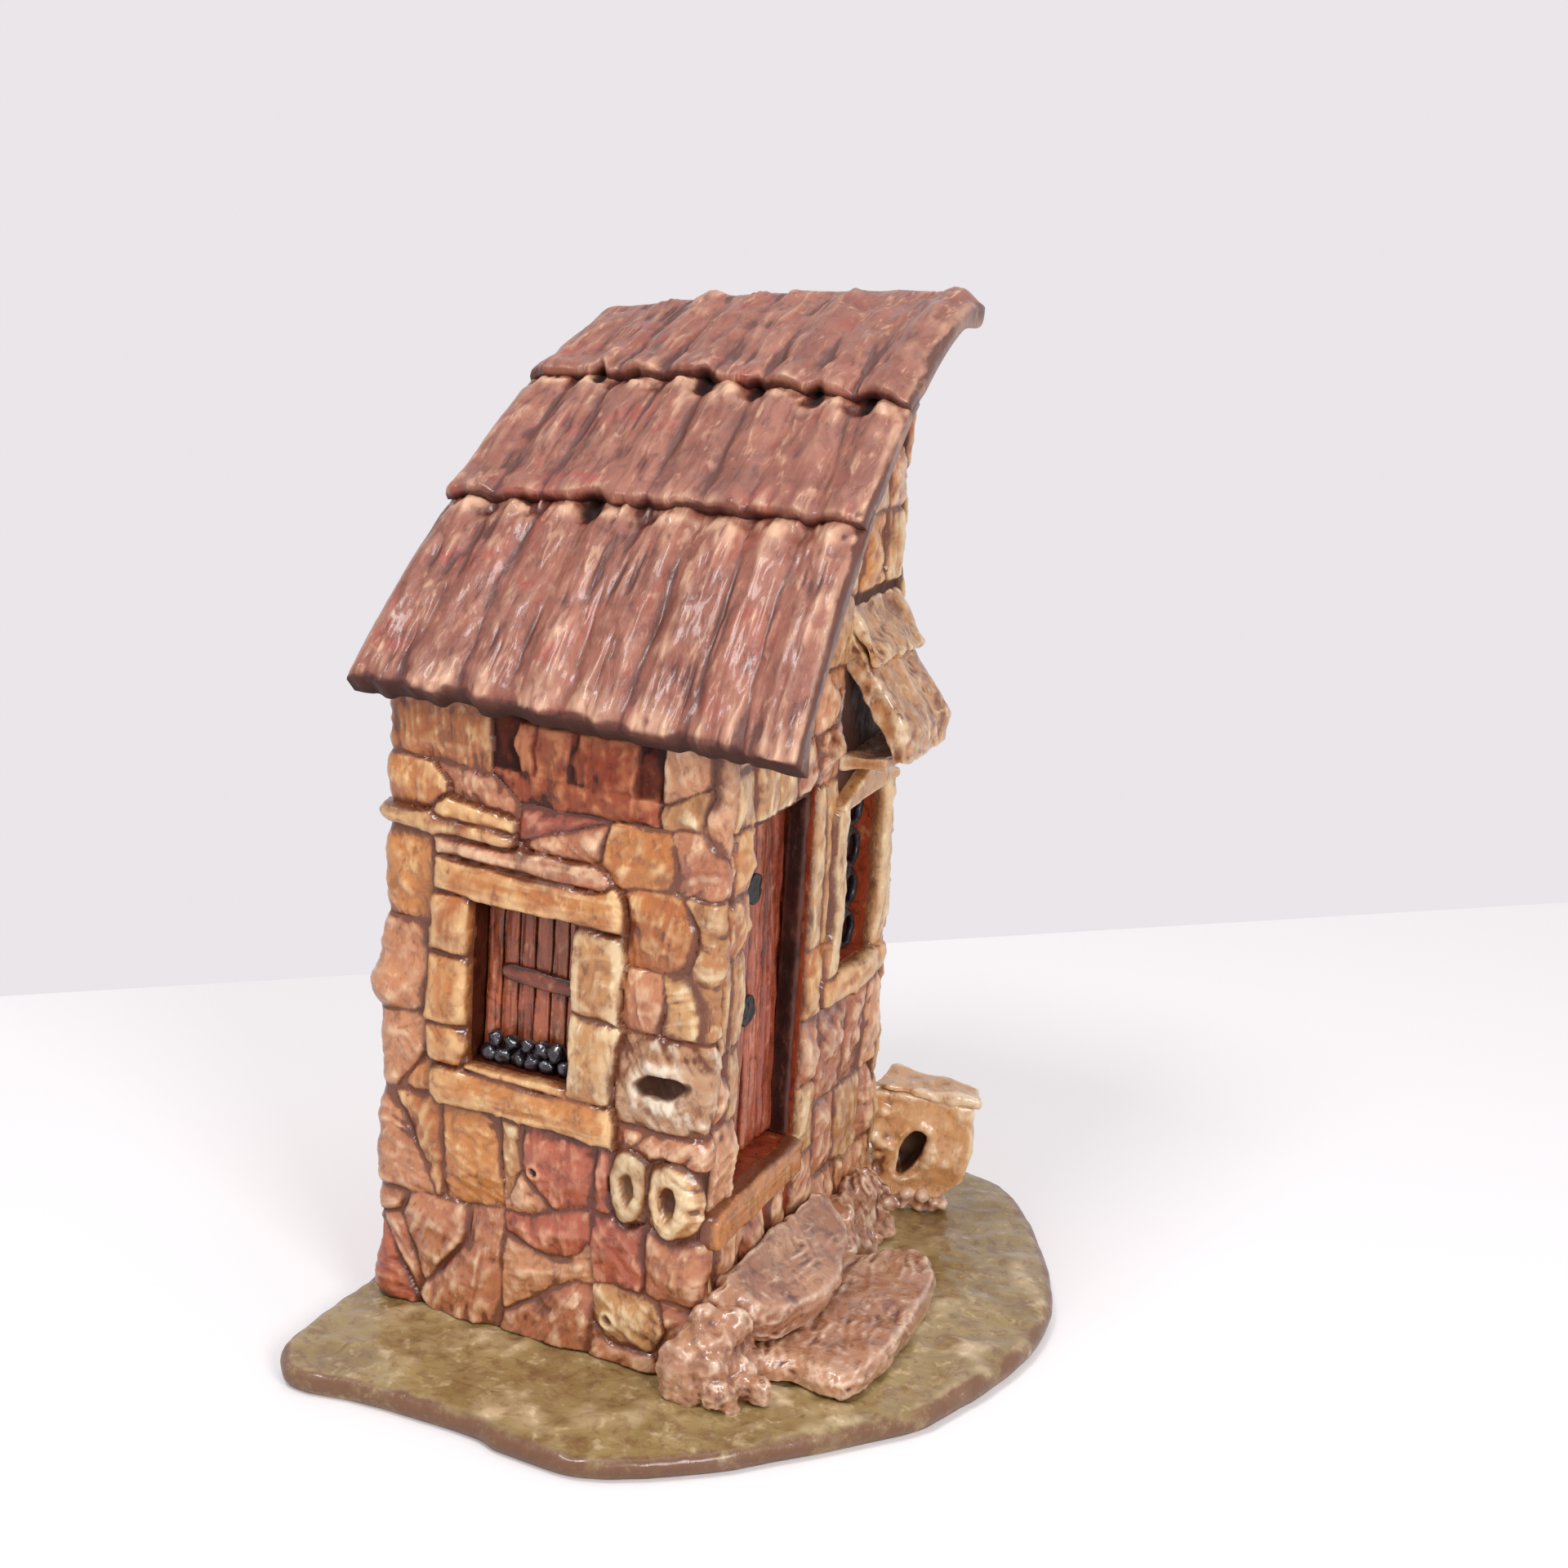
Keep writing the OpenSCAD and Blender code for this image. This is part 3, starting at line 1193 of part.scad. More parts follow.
ground_slab();
front_wall();
door_wall();
left_wall();
back_wall();
roof_lower_course();
roof_middle_course();
roof_upper_course();
front_ochre_stones();
front_cream_stones();
front_pink_stones();
front_red_stones();
ring_stones();
split_stone();
eave_bricks();
cornice_ledges();
window_lintel();
lintel_board();
window_left_jamb();
window_right_jamb();
window_sill();
sill_ledge();
shutter();
shutter_batten();
window_flowers();
door_wall_ochre_stones();
door_wall_cream_stones();
door_wall_pink_stones();
door_frame();
door_leaf();
door_hinges();
threshold();
gable_pane();
gable_lattice();
gable_boards();
gable_lintel();
gable_sill();
hood_slab();
hood_upper_slab();
hood_floor();
lower_step();
upper_step();
corner_rocks();
wall_rocks();
oven_body();
oven_top();
oven_feet();
left_wall_stones();
back_wall_stones();
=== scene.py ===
"""Miniature stone cottage in glazed clay: hand-modelled surfaces, glazes, floor, light and camera."""
import itertools
import math

import bmesh
import bpy
import numpy as np
from mathutils import Matrix, Vector, geometry


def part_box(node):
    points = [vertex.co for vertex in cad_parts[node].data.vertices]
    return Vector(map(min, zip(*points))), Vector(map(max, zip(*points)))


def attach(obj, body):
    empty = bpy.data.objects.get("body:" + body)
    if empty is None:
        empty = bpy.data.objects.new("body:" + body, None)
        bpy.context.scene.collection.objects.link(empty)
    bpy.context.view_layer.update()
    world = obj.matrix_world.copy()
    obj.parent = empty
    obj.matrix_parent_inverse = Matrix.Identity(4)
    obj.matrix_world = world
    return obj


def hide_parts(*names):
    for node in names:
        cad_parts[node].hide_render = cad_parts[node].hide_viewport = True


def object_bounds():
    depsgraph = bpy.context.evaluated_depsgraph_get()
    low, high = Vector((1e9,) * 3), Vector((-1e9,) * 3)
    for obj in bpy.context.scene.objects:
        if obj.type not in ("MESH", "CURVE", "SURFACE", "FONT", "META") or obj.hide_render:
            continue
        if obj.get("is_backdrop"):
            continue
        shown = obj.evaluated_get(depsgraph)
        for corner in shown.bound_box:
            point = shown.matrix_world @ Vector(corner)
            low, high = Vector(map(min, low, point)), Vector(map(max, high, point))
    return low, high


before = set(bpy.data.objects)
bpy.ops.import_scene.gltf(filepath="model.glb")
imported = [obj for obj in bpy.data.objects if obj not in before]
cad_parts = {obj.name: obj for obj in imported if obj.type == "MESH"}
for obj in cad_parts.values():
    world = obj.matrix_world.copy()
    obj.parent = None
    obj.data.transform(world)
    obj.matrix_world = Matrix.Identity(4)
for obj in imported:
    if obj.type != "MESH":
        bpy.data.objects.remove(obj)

cad_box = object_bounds()
MM = 0.001

# The view: camera angles in degrees, lengths in millimetres
VIEW_AZIMUTH, VIEW_ELEVATION, VIEW_ROLL = 23.65, 16.95, 3.79
VIEW_DISTANCE = 330
VIEW_TARGET = (32.53, -30.5, 88.93)
LENS, SENSOR = 61.875, 36
FRAME_SIDE = 1920
# Pixels where the far edge of the floor meets the sides of the frame
FLOOR_EDGE_LEFT = (0, 1220)
FLOOR_EDGE_RIGHT = (FRAME_SIDE, 1105)
FLOOR_REACH = 2000


# Repeatable noise

# The hash's factors for the lattice's axes and the seed, and the bits that it keeps
HASH_X, HASH_Y, HASH_Z, HASH_SEED = 374761393, 668265263, 1013904223, 1274126177
BITS_32, BITS_24 = 0xFFFFFFFF, 0xFFFFFF
OCTAVES = 3
# Third coordinate for the noise of flat things, and how far it moves from one stone to the next
NOISE_PLANE, STONE_STEP = 40.0, 7.3


def hashed(ix, iy, iz, seed):
    """Repeatable values from 0 to 1 on the points of a lattice."""
    n = (ix * HASH_X + iy * HASH_Y + iz * HASH_Z + seed * HASH_SEED) & BITS_32
    n = ((n ^ (n >> 13)) * HASH_SEED) & BITS_32
    n = n ^ (n >> 16)
    return (n & BITS_24) / BITS_24


def between(a, b, share):
    return a + (b - a) * share


def clamp(x):
    return np.clip(x, 0, 1)


def smoothstep(low, high, x):
    part = clamp((x - low) / (high - low))
    return part * part * (3 - 2 * part)


def rounded(distance, radius):
    """Share of the height that a rounded edge leaves at a distance from it."""
    return np.sqrt(1 - (1 - clamp(distance / radius)) ** 2)


def bell(*reaches):
    """A bump of height 1 that fades with each reach."""
    return np.exp(-sum(reach ** 2 for reach in reaches))


def lifted(flat, z=0.0):
    """Flat places with a third coordinate."""
    return np.column_stack([flat, np.broadcast_to(z, len(flat))])


def noise(points, size, seed):
    """Smooth noise from -1 to 1, with lumps of a size in millimetres: one size, or one for each axis."""
    q = np.asarray(points, float) / size
    low = np.floor(q).astype(np.int64)
    part = q - low
    part = part * part * (3 - 2 * part)
    total = np.zeros(len(q))
    for corner in itertools.product((0, 1), repeat=3):
        weight = np.ones(len(q))
        for axis, side in enumerate(corner):
            weight *= part[:, axis] if side else 1 - part[:, axis]
        total += weight * hashed(*(low + np.array(corner)).T, seed)
    return 2 * total - 1


def rough(points, size, seed):
    """Noise with finer and weaker noise on it."""
    return sum(noise(points, np.asarray(size) / 2 ** k, seed + k) / 2 ** k for k in range(OCTAVES))


def patches(points, size, seed, middle, swing, least=0):
    """Patchy strength: noise around a middle value, from the least up to 1."""
    return np.clip(middle + swing * noise(points, size, seed), least, 1)


def grooves(points, size, seed, share, finer):
    """Grooves of a size, with a share of finer ones."""
    return np.abs(noise(points, size, seed)) + share * np.abs(noise(points, finer, seed + 1))


def one_value(seed):
    """A repeatable number from 0 to 1."""
    return float(hashed(np.int64(seed), np.int64(seed // 7), np.int64(3), 11))


def draws(first, count, each, step=7):
    """Rows of repeatable numbers from 0 to 1."""
    return [[one_value(first + step * k + j) for j in range(each)] for k in range(count)]


# Shapes read from the solids

# Digits of a millimetre to which points are welded, and how flat a stone's foot is
WELD_DIGITS, FOOT_SLACK = 3, 0.05


def rows_of(items, key, width, kind=float):
    """A property of all of a mesh's items, a row for each."""
    values = np.empty(len(items) * width, kind)
    items.foreach_get(key, values)
    return values.reshape(-1, width)


def node_mesh(node):
    """Welded points of a solid in millimetres, and its triangles."""
    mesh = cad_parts[node].data
    mesh.calc_loop_triangles()
    points = np.round(rows_of(mesh.vertices, "co", 3) / MM, WELD_DIGITS)
    welded, index = np.unique(points, axis=0, return_inverse=True)
    triangles = index.reshape(-1)[rows_of(mesh.loop_triangles, "vertices", 3, np.int32)]
    a, b, c = triangles.T
    return welded, triangles[(a != b) & (b != c) & (a != c)]


def joined(count, edges):
    """For each point of a mesh, the lowest point that its edges lead to."""
    a, b = edges.T
    label, steady = np.arange(count), False
    while not steady:
        lower, spread = np.minimum(label[a], label[b]), label.copy()
        np.minimum.at(spread, a, lower)
        np.minimum.at(spread, b, lower)
        spread = spread[spread]
        steady, label = (spread == label).all(), spread
    return label


def islands(points, triangles):
    """The separate solids of a node, each as its points and triangles."""
    label = joined(len(points), triangles[:, [0, 1, 1, 2]].reshape(-1, 2))[triangles[:, 0]]
    for mark in np.unique(label):
        used, index = np.unique(triangles[label == mark], return_inverse=True)
        yield points[used], index.reshape(-1, 3)


def node_box(node):
    low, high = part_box(node)
    return np.array(low) / MM, np.array(high) / MM


class Wall:
    """A wall face: local x runs along it, local y up and local z outward."""

    def __init__(self, origin, along, up, out):
        self.origin = np.array(origin, float)
        self.axes = np.array([along, up, out], float)

    def local(self, points):
        return (points - self.origin) @ self.axes.T

    def world(self, points):
        return points @ self.axes + self.origin

    def moved(self, out):
        """The same face farther out."""
        return Wall(self.world(np.array([0, 0, out])), *self.axes)

    def box(self, node):
        """Lowest and highest local coordinates of a node."""
        local = self.local(node_mesh(node)[0])
        return local.min(axis=0), local.max(axis=0)


def leaning_back():
    """The back wall's outer face, found on the solid."""
    points, triangles = node_mesh("back_wall")
    a, b, c = (points[triangles[:, k]] for k in range(3))
    normals = np.cross(b - a, c - a)
    facing = np.argmax(normals[:, 1])
    out = normals[facing] / np.linalg.norm(normals[facing])
    up = np.array([0, -out[2], out[1]])
    return Wall(a[facing] * [0, 1, 1] - up * a[facing][2] / up[2], (-1, 0, 0), up, out)


FRONT_Y = node_box("front_wall")[0][1]
HALF_W = node_box("door_wall")[1][0]
SLAB_T = node_box("ground_slab")[1][2]
FRONT = Wall((0, FRONT_Y, 0), (1, 0, 0), (0, 0, 1), (0, -1, 0))
RIGHT = Wall((HALF_W, 0, 0), (0, 1, 0), (0, 0, 1), (1, 0, 0))
LEFT = Wall((-HALF_W, 0, 0), (0, -1, 0), (0, 0, 1), (-1, 0, 0))
BACK = leaning_back()


# Outlines

def corner_areas(loop):
    """Twice the signed area between each side of an outline and the origin."""
    ahead = np.roll(loop, -1, axis=0)
    return loop[:, 0] * ahead[:, 1] - ahead[:, 0] * loop[:, 1]


def signed_area(loop):
    return 0.5 * corner_areas(loop).sum()


def area_centre(loop):
    cross = corner_areas(loop)
    return ((loop + np.roll(loop, -1, axis=0)) * cross[:, None]).sum(axis=0) / (3 * cross.sum())


def anticlockwise(loop):
    return loop if signed_area(loop) > 0 else loop[::-1]


def base_loop(points, triangles):
    """Outline of a stone where it meets the wall, from its local points."""
    foot = points[:, 2].min() + FOOT_SLACK
    flat = triangles[(points[triangles][:, :, 2] < foot).all(axis=1)]
    edges = np.concatenate([flat[:, [0, 1]], flat[:, [1, 2]], flat[:, [2, 0]]])
    following = dict({tuple(e) for e in edges} - {tuple(e) for e in edges[:, ::-1]})
    loop = [min(following)]
    while following[loop[-1]] != loop[0] and len(loop) <= len(following):
        loop.append(following[loop[-1]])
    return anticlockwise(points[loop][:, :2])


def hull_loop(points):
    """Outer outline of a ring on a wall."""
    return anticlockwise(points[geometry.convex_hull_2d([tuple(q) for q in points[:, :2]])][:, :2])


def resampled(loop, spacing, least=24):
    """Points at even spacing along a closed outline."""
    closed = np.vstack([loop, loop[:1]])
    along = np.concatenate([[0], np.cumsum(np.linalg.norm(np.diff(closed, axis=0), axis=1))])
    count = max(least, int(along[-1] / spacing))
    at = np.linspace(0, along[-1], count, endpoint=False)
    return np.column_stack([np.interp(at, along, closed[:, k]) for k in (0, 1)])


def softened(loop, rounds):
    for _ in range(rounds):
        loop = 0.5 * loop + 0.25 * (np.roll(loop, 1, axis=0) + np.roll(loop, -1, axis=0))
    return loop


def grown(loop, distance):
    """An outline moved outward."""
    ahead = np.roll(loop, -1, axis=0) - np.roll(loop, 1, axis=0)
    out = np.column_stack([ahead[:, 1], -ahead[:, 0]])
    return loop + distance * out / np.maximum(np.linalg.norm(out, axis=1), 1e-9)[:, None]


def wandering(loop, seed, amount):
    """The hand-cut wander of an outline: neighbours on one wall wander together."""
    flat = lifted(loop, NOISE_PLANE)
    shift = [noise(flat, 6.5, seed + k) + 0.45 * noise(flat, 2.4, seed + 3 + k) for k in (0, 1)]
    return loop + amount * np.column_stack(shift)


def edge_distance(points, loop):
    """Distance of points from an outline."""
    step = (np.roll(loop, -1, axis=0) - loop)[None, :, :]
    rel = points[:, None, :] - loop[None, :, :]
    part = clamp((rel * step).sum(2) / np.maximum((step * step).sum(2), 1e-12))
    return np.linalg.norm(rel - part[:, :, None] * step, axis=2).min(axis=1)


def signed_distance(points, loop):
    """Distance of points from an outline, negative inside it."""
    x, y = points.T
    inside = np.zeros(len(points), bool)
    for (x0, y0), (x1, y1) in zip(loop, np.roll(loop, -1, axis=0)):
        if y0 != y1:
            inside ^= ((y0 > y) != (y1 > y)) & (x < x0 + (y - y0) * (x1 - x0) / (y1 - y0))
    distance = edge_distance(points, loop)
    return np.where(inside, -distance, distance)


def outside_box(points, box, margin=0.25):
    """How far points lie outside an upright opening around a box."""
    (x0, y0), (x1, y1) = (end[:2] for end in box)
    x, y = points.T
    return np.max([x0 - margin - x, x - x1 - margin, y0 - margin - y, y - y1 - margin], axis=0)


# Clay pieces

# What each point of a piece is painted with, and the value where nothing is said: tone; pool, the dark glaze
# wash, in places painted shade; pale, rubbed glaze and painted highlight; dark, mostly painted shade in holes
# and hollows
PAINTS = {"tone": 0.5, "pool": 0.0, "pale": 0.0, "dark": 0.0}
# Separate bits with fewer points than this are dropped
CRUMB_POINTS = 40


def placed(name, data):
    """A new object in the scene."""
    thing = bpy.data.objects.new(name, data)
    bpy.context.scene.collection.objects.link(thing)
    return thing


def drop_crumbs(mesh):
    """Removes the small separate bits of a mesh."""
    count = len(mesh.vertices)
    label = joined(count, rows_of(mesh.edges, "vertices", 2, np.int32))
    small = np.flatnonzero(np.bincount(label, minlength=count)[label] < CRUMB_POINTS)
    shape = bmesh.new()
    shape.from_mesh(mesh)
    shape.verts.ensure_lookup_table()
    bmesh.ops.delete(shape, geom=[shape.verts[k] for k in small], context="VERTS")
    shape.to_mesh(mesh)
    shape.free()


class Clay:
    """Collects the surfaces of one piece: points in millimetres, faces, and paint values for each point."""

    def __init__(self):
        self.points, self.quads, self.triangles = [], [], []
        self.paint = {key: [] for key in PAINTS}
        self.count = 0

    def add(self, points, quads, triangles=(), **paint):
        self.points.append(points)
        self.quads.append(np.asarray(quads, np.int64) + self.count)
        self.triangles.append(np.asarray(triangles, np.int64).reshape(-1, 3) + self.count)
        for key, plain in PAINTS.items():
            self.paint[key].append(np.broadcast_to(np.asarray(paint.get(key, plain), float), len(points)))
        self.count += len(points)

    def build(self, node, material, loose=False):
        """The finished piece: stands for its node and rides with the house."""
        faces = [face for block in self.quads + self.triangles for face in block.tolist()]
        mesh = bpy.data.meshes.new(node + "_clay")
        mesh.from_pydata((np.concatenate(self.points) * MM).tolist(), [], faces)
        mesh.validate()
        mesh.shade_smooth()
        for key, values in self.paint.items():
            layer = mesh.attributes.new(key, "FLOAT", "POINT")
            layer.data.foreach_set("value", np.concatenate(values).astype(np.float32))
        if loose:
            drop_crumbs(mesh)
        mesh.materials.append(material)
        piece = placed(node + "_clay", mesh)
        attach(piece, "root")
        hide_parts(node)


def ring_quads(count, layers):
    """Quads between rings that have the same count of points."""
    first = np.arange(count)
    after = (first + 1) % count
    ring = np.column_stack([first, after, after + count, first + count])
    return np.concatenate([ring + k * count for k in range(layers - 1)])


def ring_fan(count, layers):
    """Triangles between the last ring and the point that follows it."""
    first = np.arange(count)
    last = (layers - 1) * count
    return np.column_stack([first + last, (first + 1) % count + last, np.full(count, layers * count)])


def grid_quads(rows, columns):
    grid = np.arange(rows * columns).reshape(rows, columns)
    return np.stack([grid[:-1, :-1], grid[:-1, 1:], grid[1:, 1:], grid[1:, :-1]], axis=-1).reshape(-1, 4)


# Boards: spacing of the outline's points, and shares of the way from the edge to the middle
BOARD_SPACING = 0.42
RINGS = [0.02, 0.05, 0.09, 0.14, 0.2, 0.28, 0.38, 0.5, 0.62, 0.75, 0.88]


def pillow(clay, wall, loop, height, seed, grain, edge=0.55, crown=0.2, lump=0.24, wander=0.25, grow=0.14,
           foot=-0.2, soak=1.0):
    """One crowned board on a wall face, with grooves along its longer side."""
    outline = softened(resampled(loop, BOARD_SPACING), 3)
    outline = grown(wandering(outline, 5, wander), grow)
    middle = area_centre(outline)
    rings = [middle + (outline - middle) * (1 - share) for share in RINGS]
    flat = np.vstack([outline, outline] + rings + [middle[None, :]])
    count, layers = len(outline), len(RINGS) + 2
    distance = edge_distance(flat, outline)
    distance[:2 * count] = 0
    rise = rounded(distance, edge)
    deep = distance / distance.max()
    spread = lifted(flat, seed * STONE_STEP)
    tilt = np.array([one_value(seed * 5 + k) - 0.5 for k in (1, 2)]) * 0.09
    relief = lump * (rough(spread, 4.2, seed) + 0.5 * noise(spread, 1.5, seed + 9)) + (flat - middle) @ tilt
    width, length = outline.max(axis=0) - outline.min(axis=0)
    groove = np.array((0.75, 9.0, 5.0) if length > width else (9.0, 0.75, 5.0))
    relief = 0.6 * relief - grain * np.abs(noise(spread, groove, seed + 20))
    relief = relief - 0.4 * grain * noise(spread, groove * 0.45, seed + 21)
    relief = relief - 0.07 * np.abs(noise(spread, (0.6, 5.0, 9.0), seed + 25))
    z = height * (0.4 + 0.6 * rise) + rise * (crown * deep + relief)
    z += 0.03 * noise(spread, 0.7, seed + 30)
    z[:count] = foot
    hollow = np.clip(-relief / lump, 0, 1.5)
    reach = soak * (0.2 + 0.75 * patches(spread, 3.0, seed + 40, 0.5, 0.6) ** 2)
    pool = clamp(1.1 * np.exp(-distance / reach) + 0.35 * hollow * (1 - 0.4 * deep))
    clay.add(wall.world(lifted(flat, z)), ring_quads(count, layers), ring_fan(count, layers),
             tone=one_value(seed * 13 + 5), pool=pool)


def boards(node, wall, material, seed, **style):
    """Rebuilds each board of a node as a crowned clay lump."""
    clay = Clay()
    points, triangles = node_mesh(node)
    for k, (own, faces) in enumerate(islands(wall.local(points), triangles)):
        pillow(clay, wall, base_loop(own, faces), own[:, 2].max(), seed + k, **style)
    clay.build(node, material)


def planks(node, wall, material, count, seed, gap=0.12, **style):
    """A planked panel: one crowned board for each plank, on a thin plate."""
    clay = Clay()
    low, high = wall.box(node)
    depth = high[2] - low[2]
    edges = np.linspace(low[0], high[0], count + 1)
    for k in range(count):
        x0, x1 = edges[k] + gap / 2, edges[k + 1] - gap / 2
        top = high[1] + 0.35 * (one_value(seed + k) - 0.5)
        loop = np.array([[x0, low[1]], [x1, low[1]], [x1, top], [x0, top]])
        pillow(clay, wall.moved(low[2]), loop, depth, seed + k, foot=0.0, wander=0.1, grow=0.0, **style)
    plan = np.array([low[:2], (high[0], low[1]), high[:2], (low[0], high[1])])
    plate = np.vstack([lifted(plan, low[2]), lifted(plan, low[2] + 0.35 * depth)])
    clay.add(wall.world(plate), np.vstack([[[3, 2, 1, 0], [4, 5, 6, 7]], ring_quads(4, 2)]), pool=1.0)
    clay.build(node, material)


# Wall skins

# Flat cuts that a stone's face has
FACETS = 3
# How far around a stone's box points are measured from it, and distances where no stone is near
STONE_REACH, FAR_NEAREST, FAR_SECOND = 4.0, 50.0, 60.0
# Gap below a stone that is repeated, and the least distance of its middle from other stones
FILL_GAP, FILL_CLEAR = 0.5, 0.3
# How much the joints and the skin's points sway, and how far its skirts run down into the wall
JOINT_SWAY, SKIN_SWAY, SKIN_DEPTH = 0.3, 0.16, 0.25


def wall_layout(wall, entries):
    """Node, outline, height and style of each stone of a face. A stone whose style has a fill is repeated
    above itself where the face is bare and higher than the fill."""
    stones = []
    for node, _, style in entries:
        points, triangles = node_mesh(node)
        for own, faces in islands(wall.local(points), triangles):
            loop = hull_loop(own) if style.get("hull") else base_loop(own, faces)
            stones.append((node, loop, own[:, 2].max(), style))
    for _ in range(2):
        for node, loop, top, style in [stone for stone in stones if "fill" in stone[3]]:
            raised = loop + [0, loop[:, 1].max() - loop[:, 1].min() + FILL_GAP]
            middle = area_centre(raised)[None, :]
            clear = min(signed_distance(middle, stone[1])[0] for stone in stones) > FILL_CLEAR
            if clear and middle[0, 1] > style["fill"]:
                stones.append((node, raised, top, style))
    return stones


def nearest_stones(spots, stones):
    """The nearest stone of each spot, the distance from it, and that from the joint with the next one."""
    nearest, second = np.full(len(spots), FAR_NEAREST), np.full(len(spots), FAR_SECOND)
    owner = np.zeros(len(spots), np.int64)
    for k, (_, loop, _, _) in enumerate(stones):
        box = loop.min(axis=0), loop.max(axis=0)
        close = np.flatnonzero(outside_box(spots, box, STONE_REACH) < 0)
        distance = signed_distance(spots[close], loop)
        better = distance < nearest[close]
        second[close] = np.where(better, nearest[close], np.minimum(second[close], distance))
        nearest[close] = np.where(better, distance, nearest[close])
        owner[close] = np.where(better, k, owner[close])
    return owner, nearest, (second - nearest) / 2


def evened(field, rounds):
    """A field on a grid, evened out."""
    for _ in range(rounds):
        wide = np.pad(field, 1, mode="edge")
        sides = wide[:-2, 1:-1] + wide[2:, 1:-1] + wide[1:-1, :-2] + wide[1:-1, 2:]
        field = 0.5 * field + 0.125 * sides
    return field


def share_out(entries, holder, quads, top, foot, paint):
    """Cuts a skin into its nodes' pieces, with a skirt down to the foot along the skin's border."""
    edges = np.concatenate([quads[:, [k, (k + 1) % 4]] for k in range(4)])
    code, back = edges[:, 0] * len(top) + edges[:, 1], edges[:, 1] * len(top) + edges[:, 0]
    border = ~np.isin(code, back)
    for k, (node, material, _) in enumerate(entries):
        mine = holder[quads[:, 0]] == k
        lips = edges[border & np.tile(mine, 4)]
        used, index = np.unique(np.concatenate([quads[mine].ravel(), lips.ravel()]), return_inverse=True)
        count = mine.sum() * 4
        faces, rims = index[:count].reshape(-1, 4), index[count:].reshape(-1, 2)
        skirts = np.column_stack([rims[:, ::-1], rims + len(used)])
        values = {key: np.tile(value[used], 2) for key, value in paint.items()}
        values["pool"][len(used):] = 0.9
        clay = Clay()
        clay.add(np.vstack([top[used], foot[used]]), np.vstack([faces, skirts]), **values)
        clay.build(node, material, loose=True)


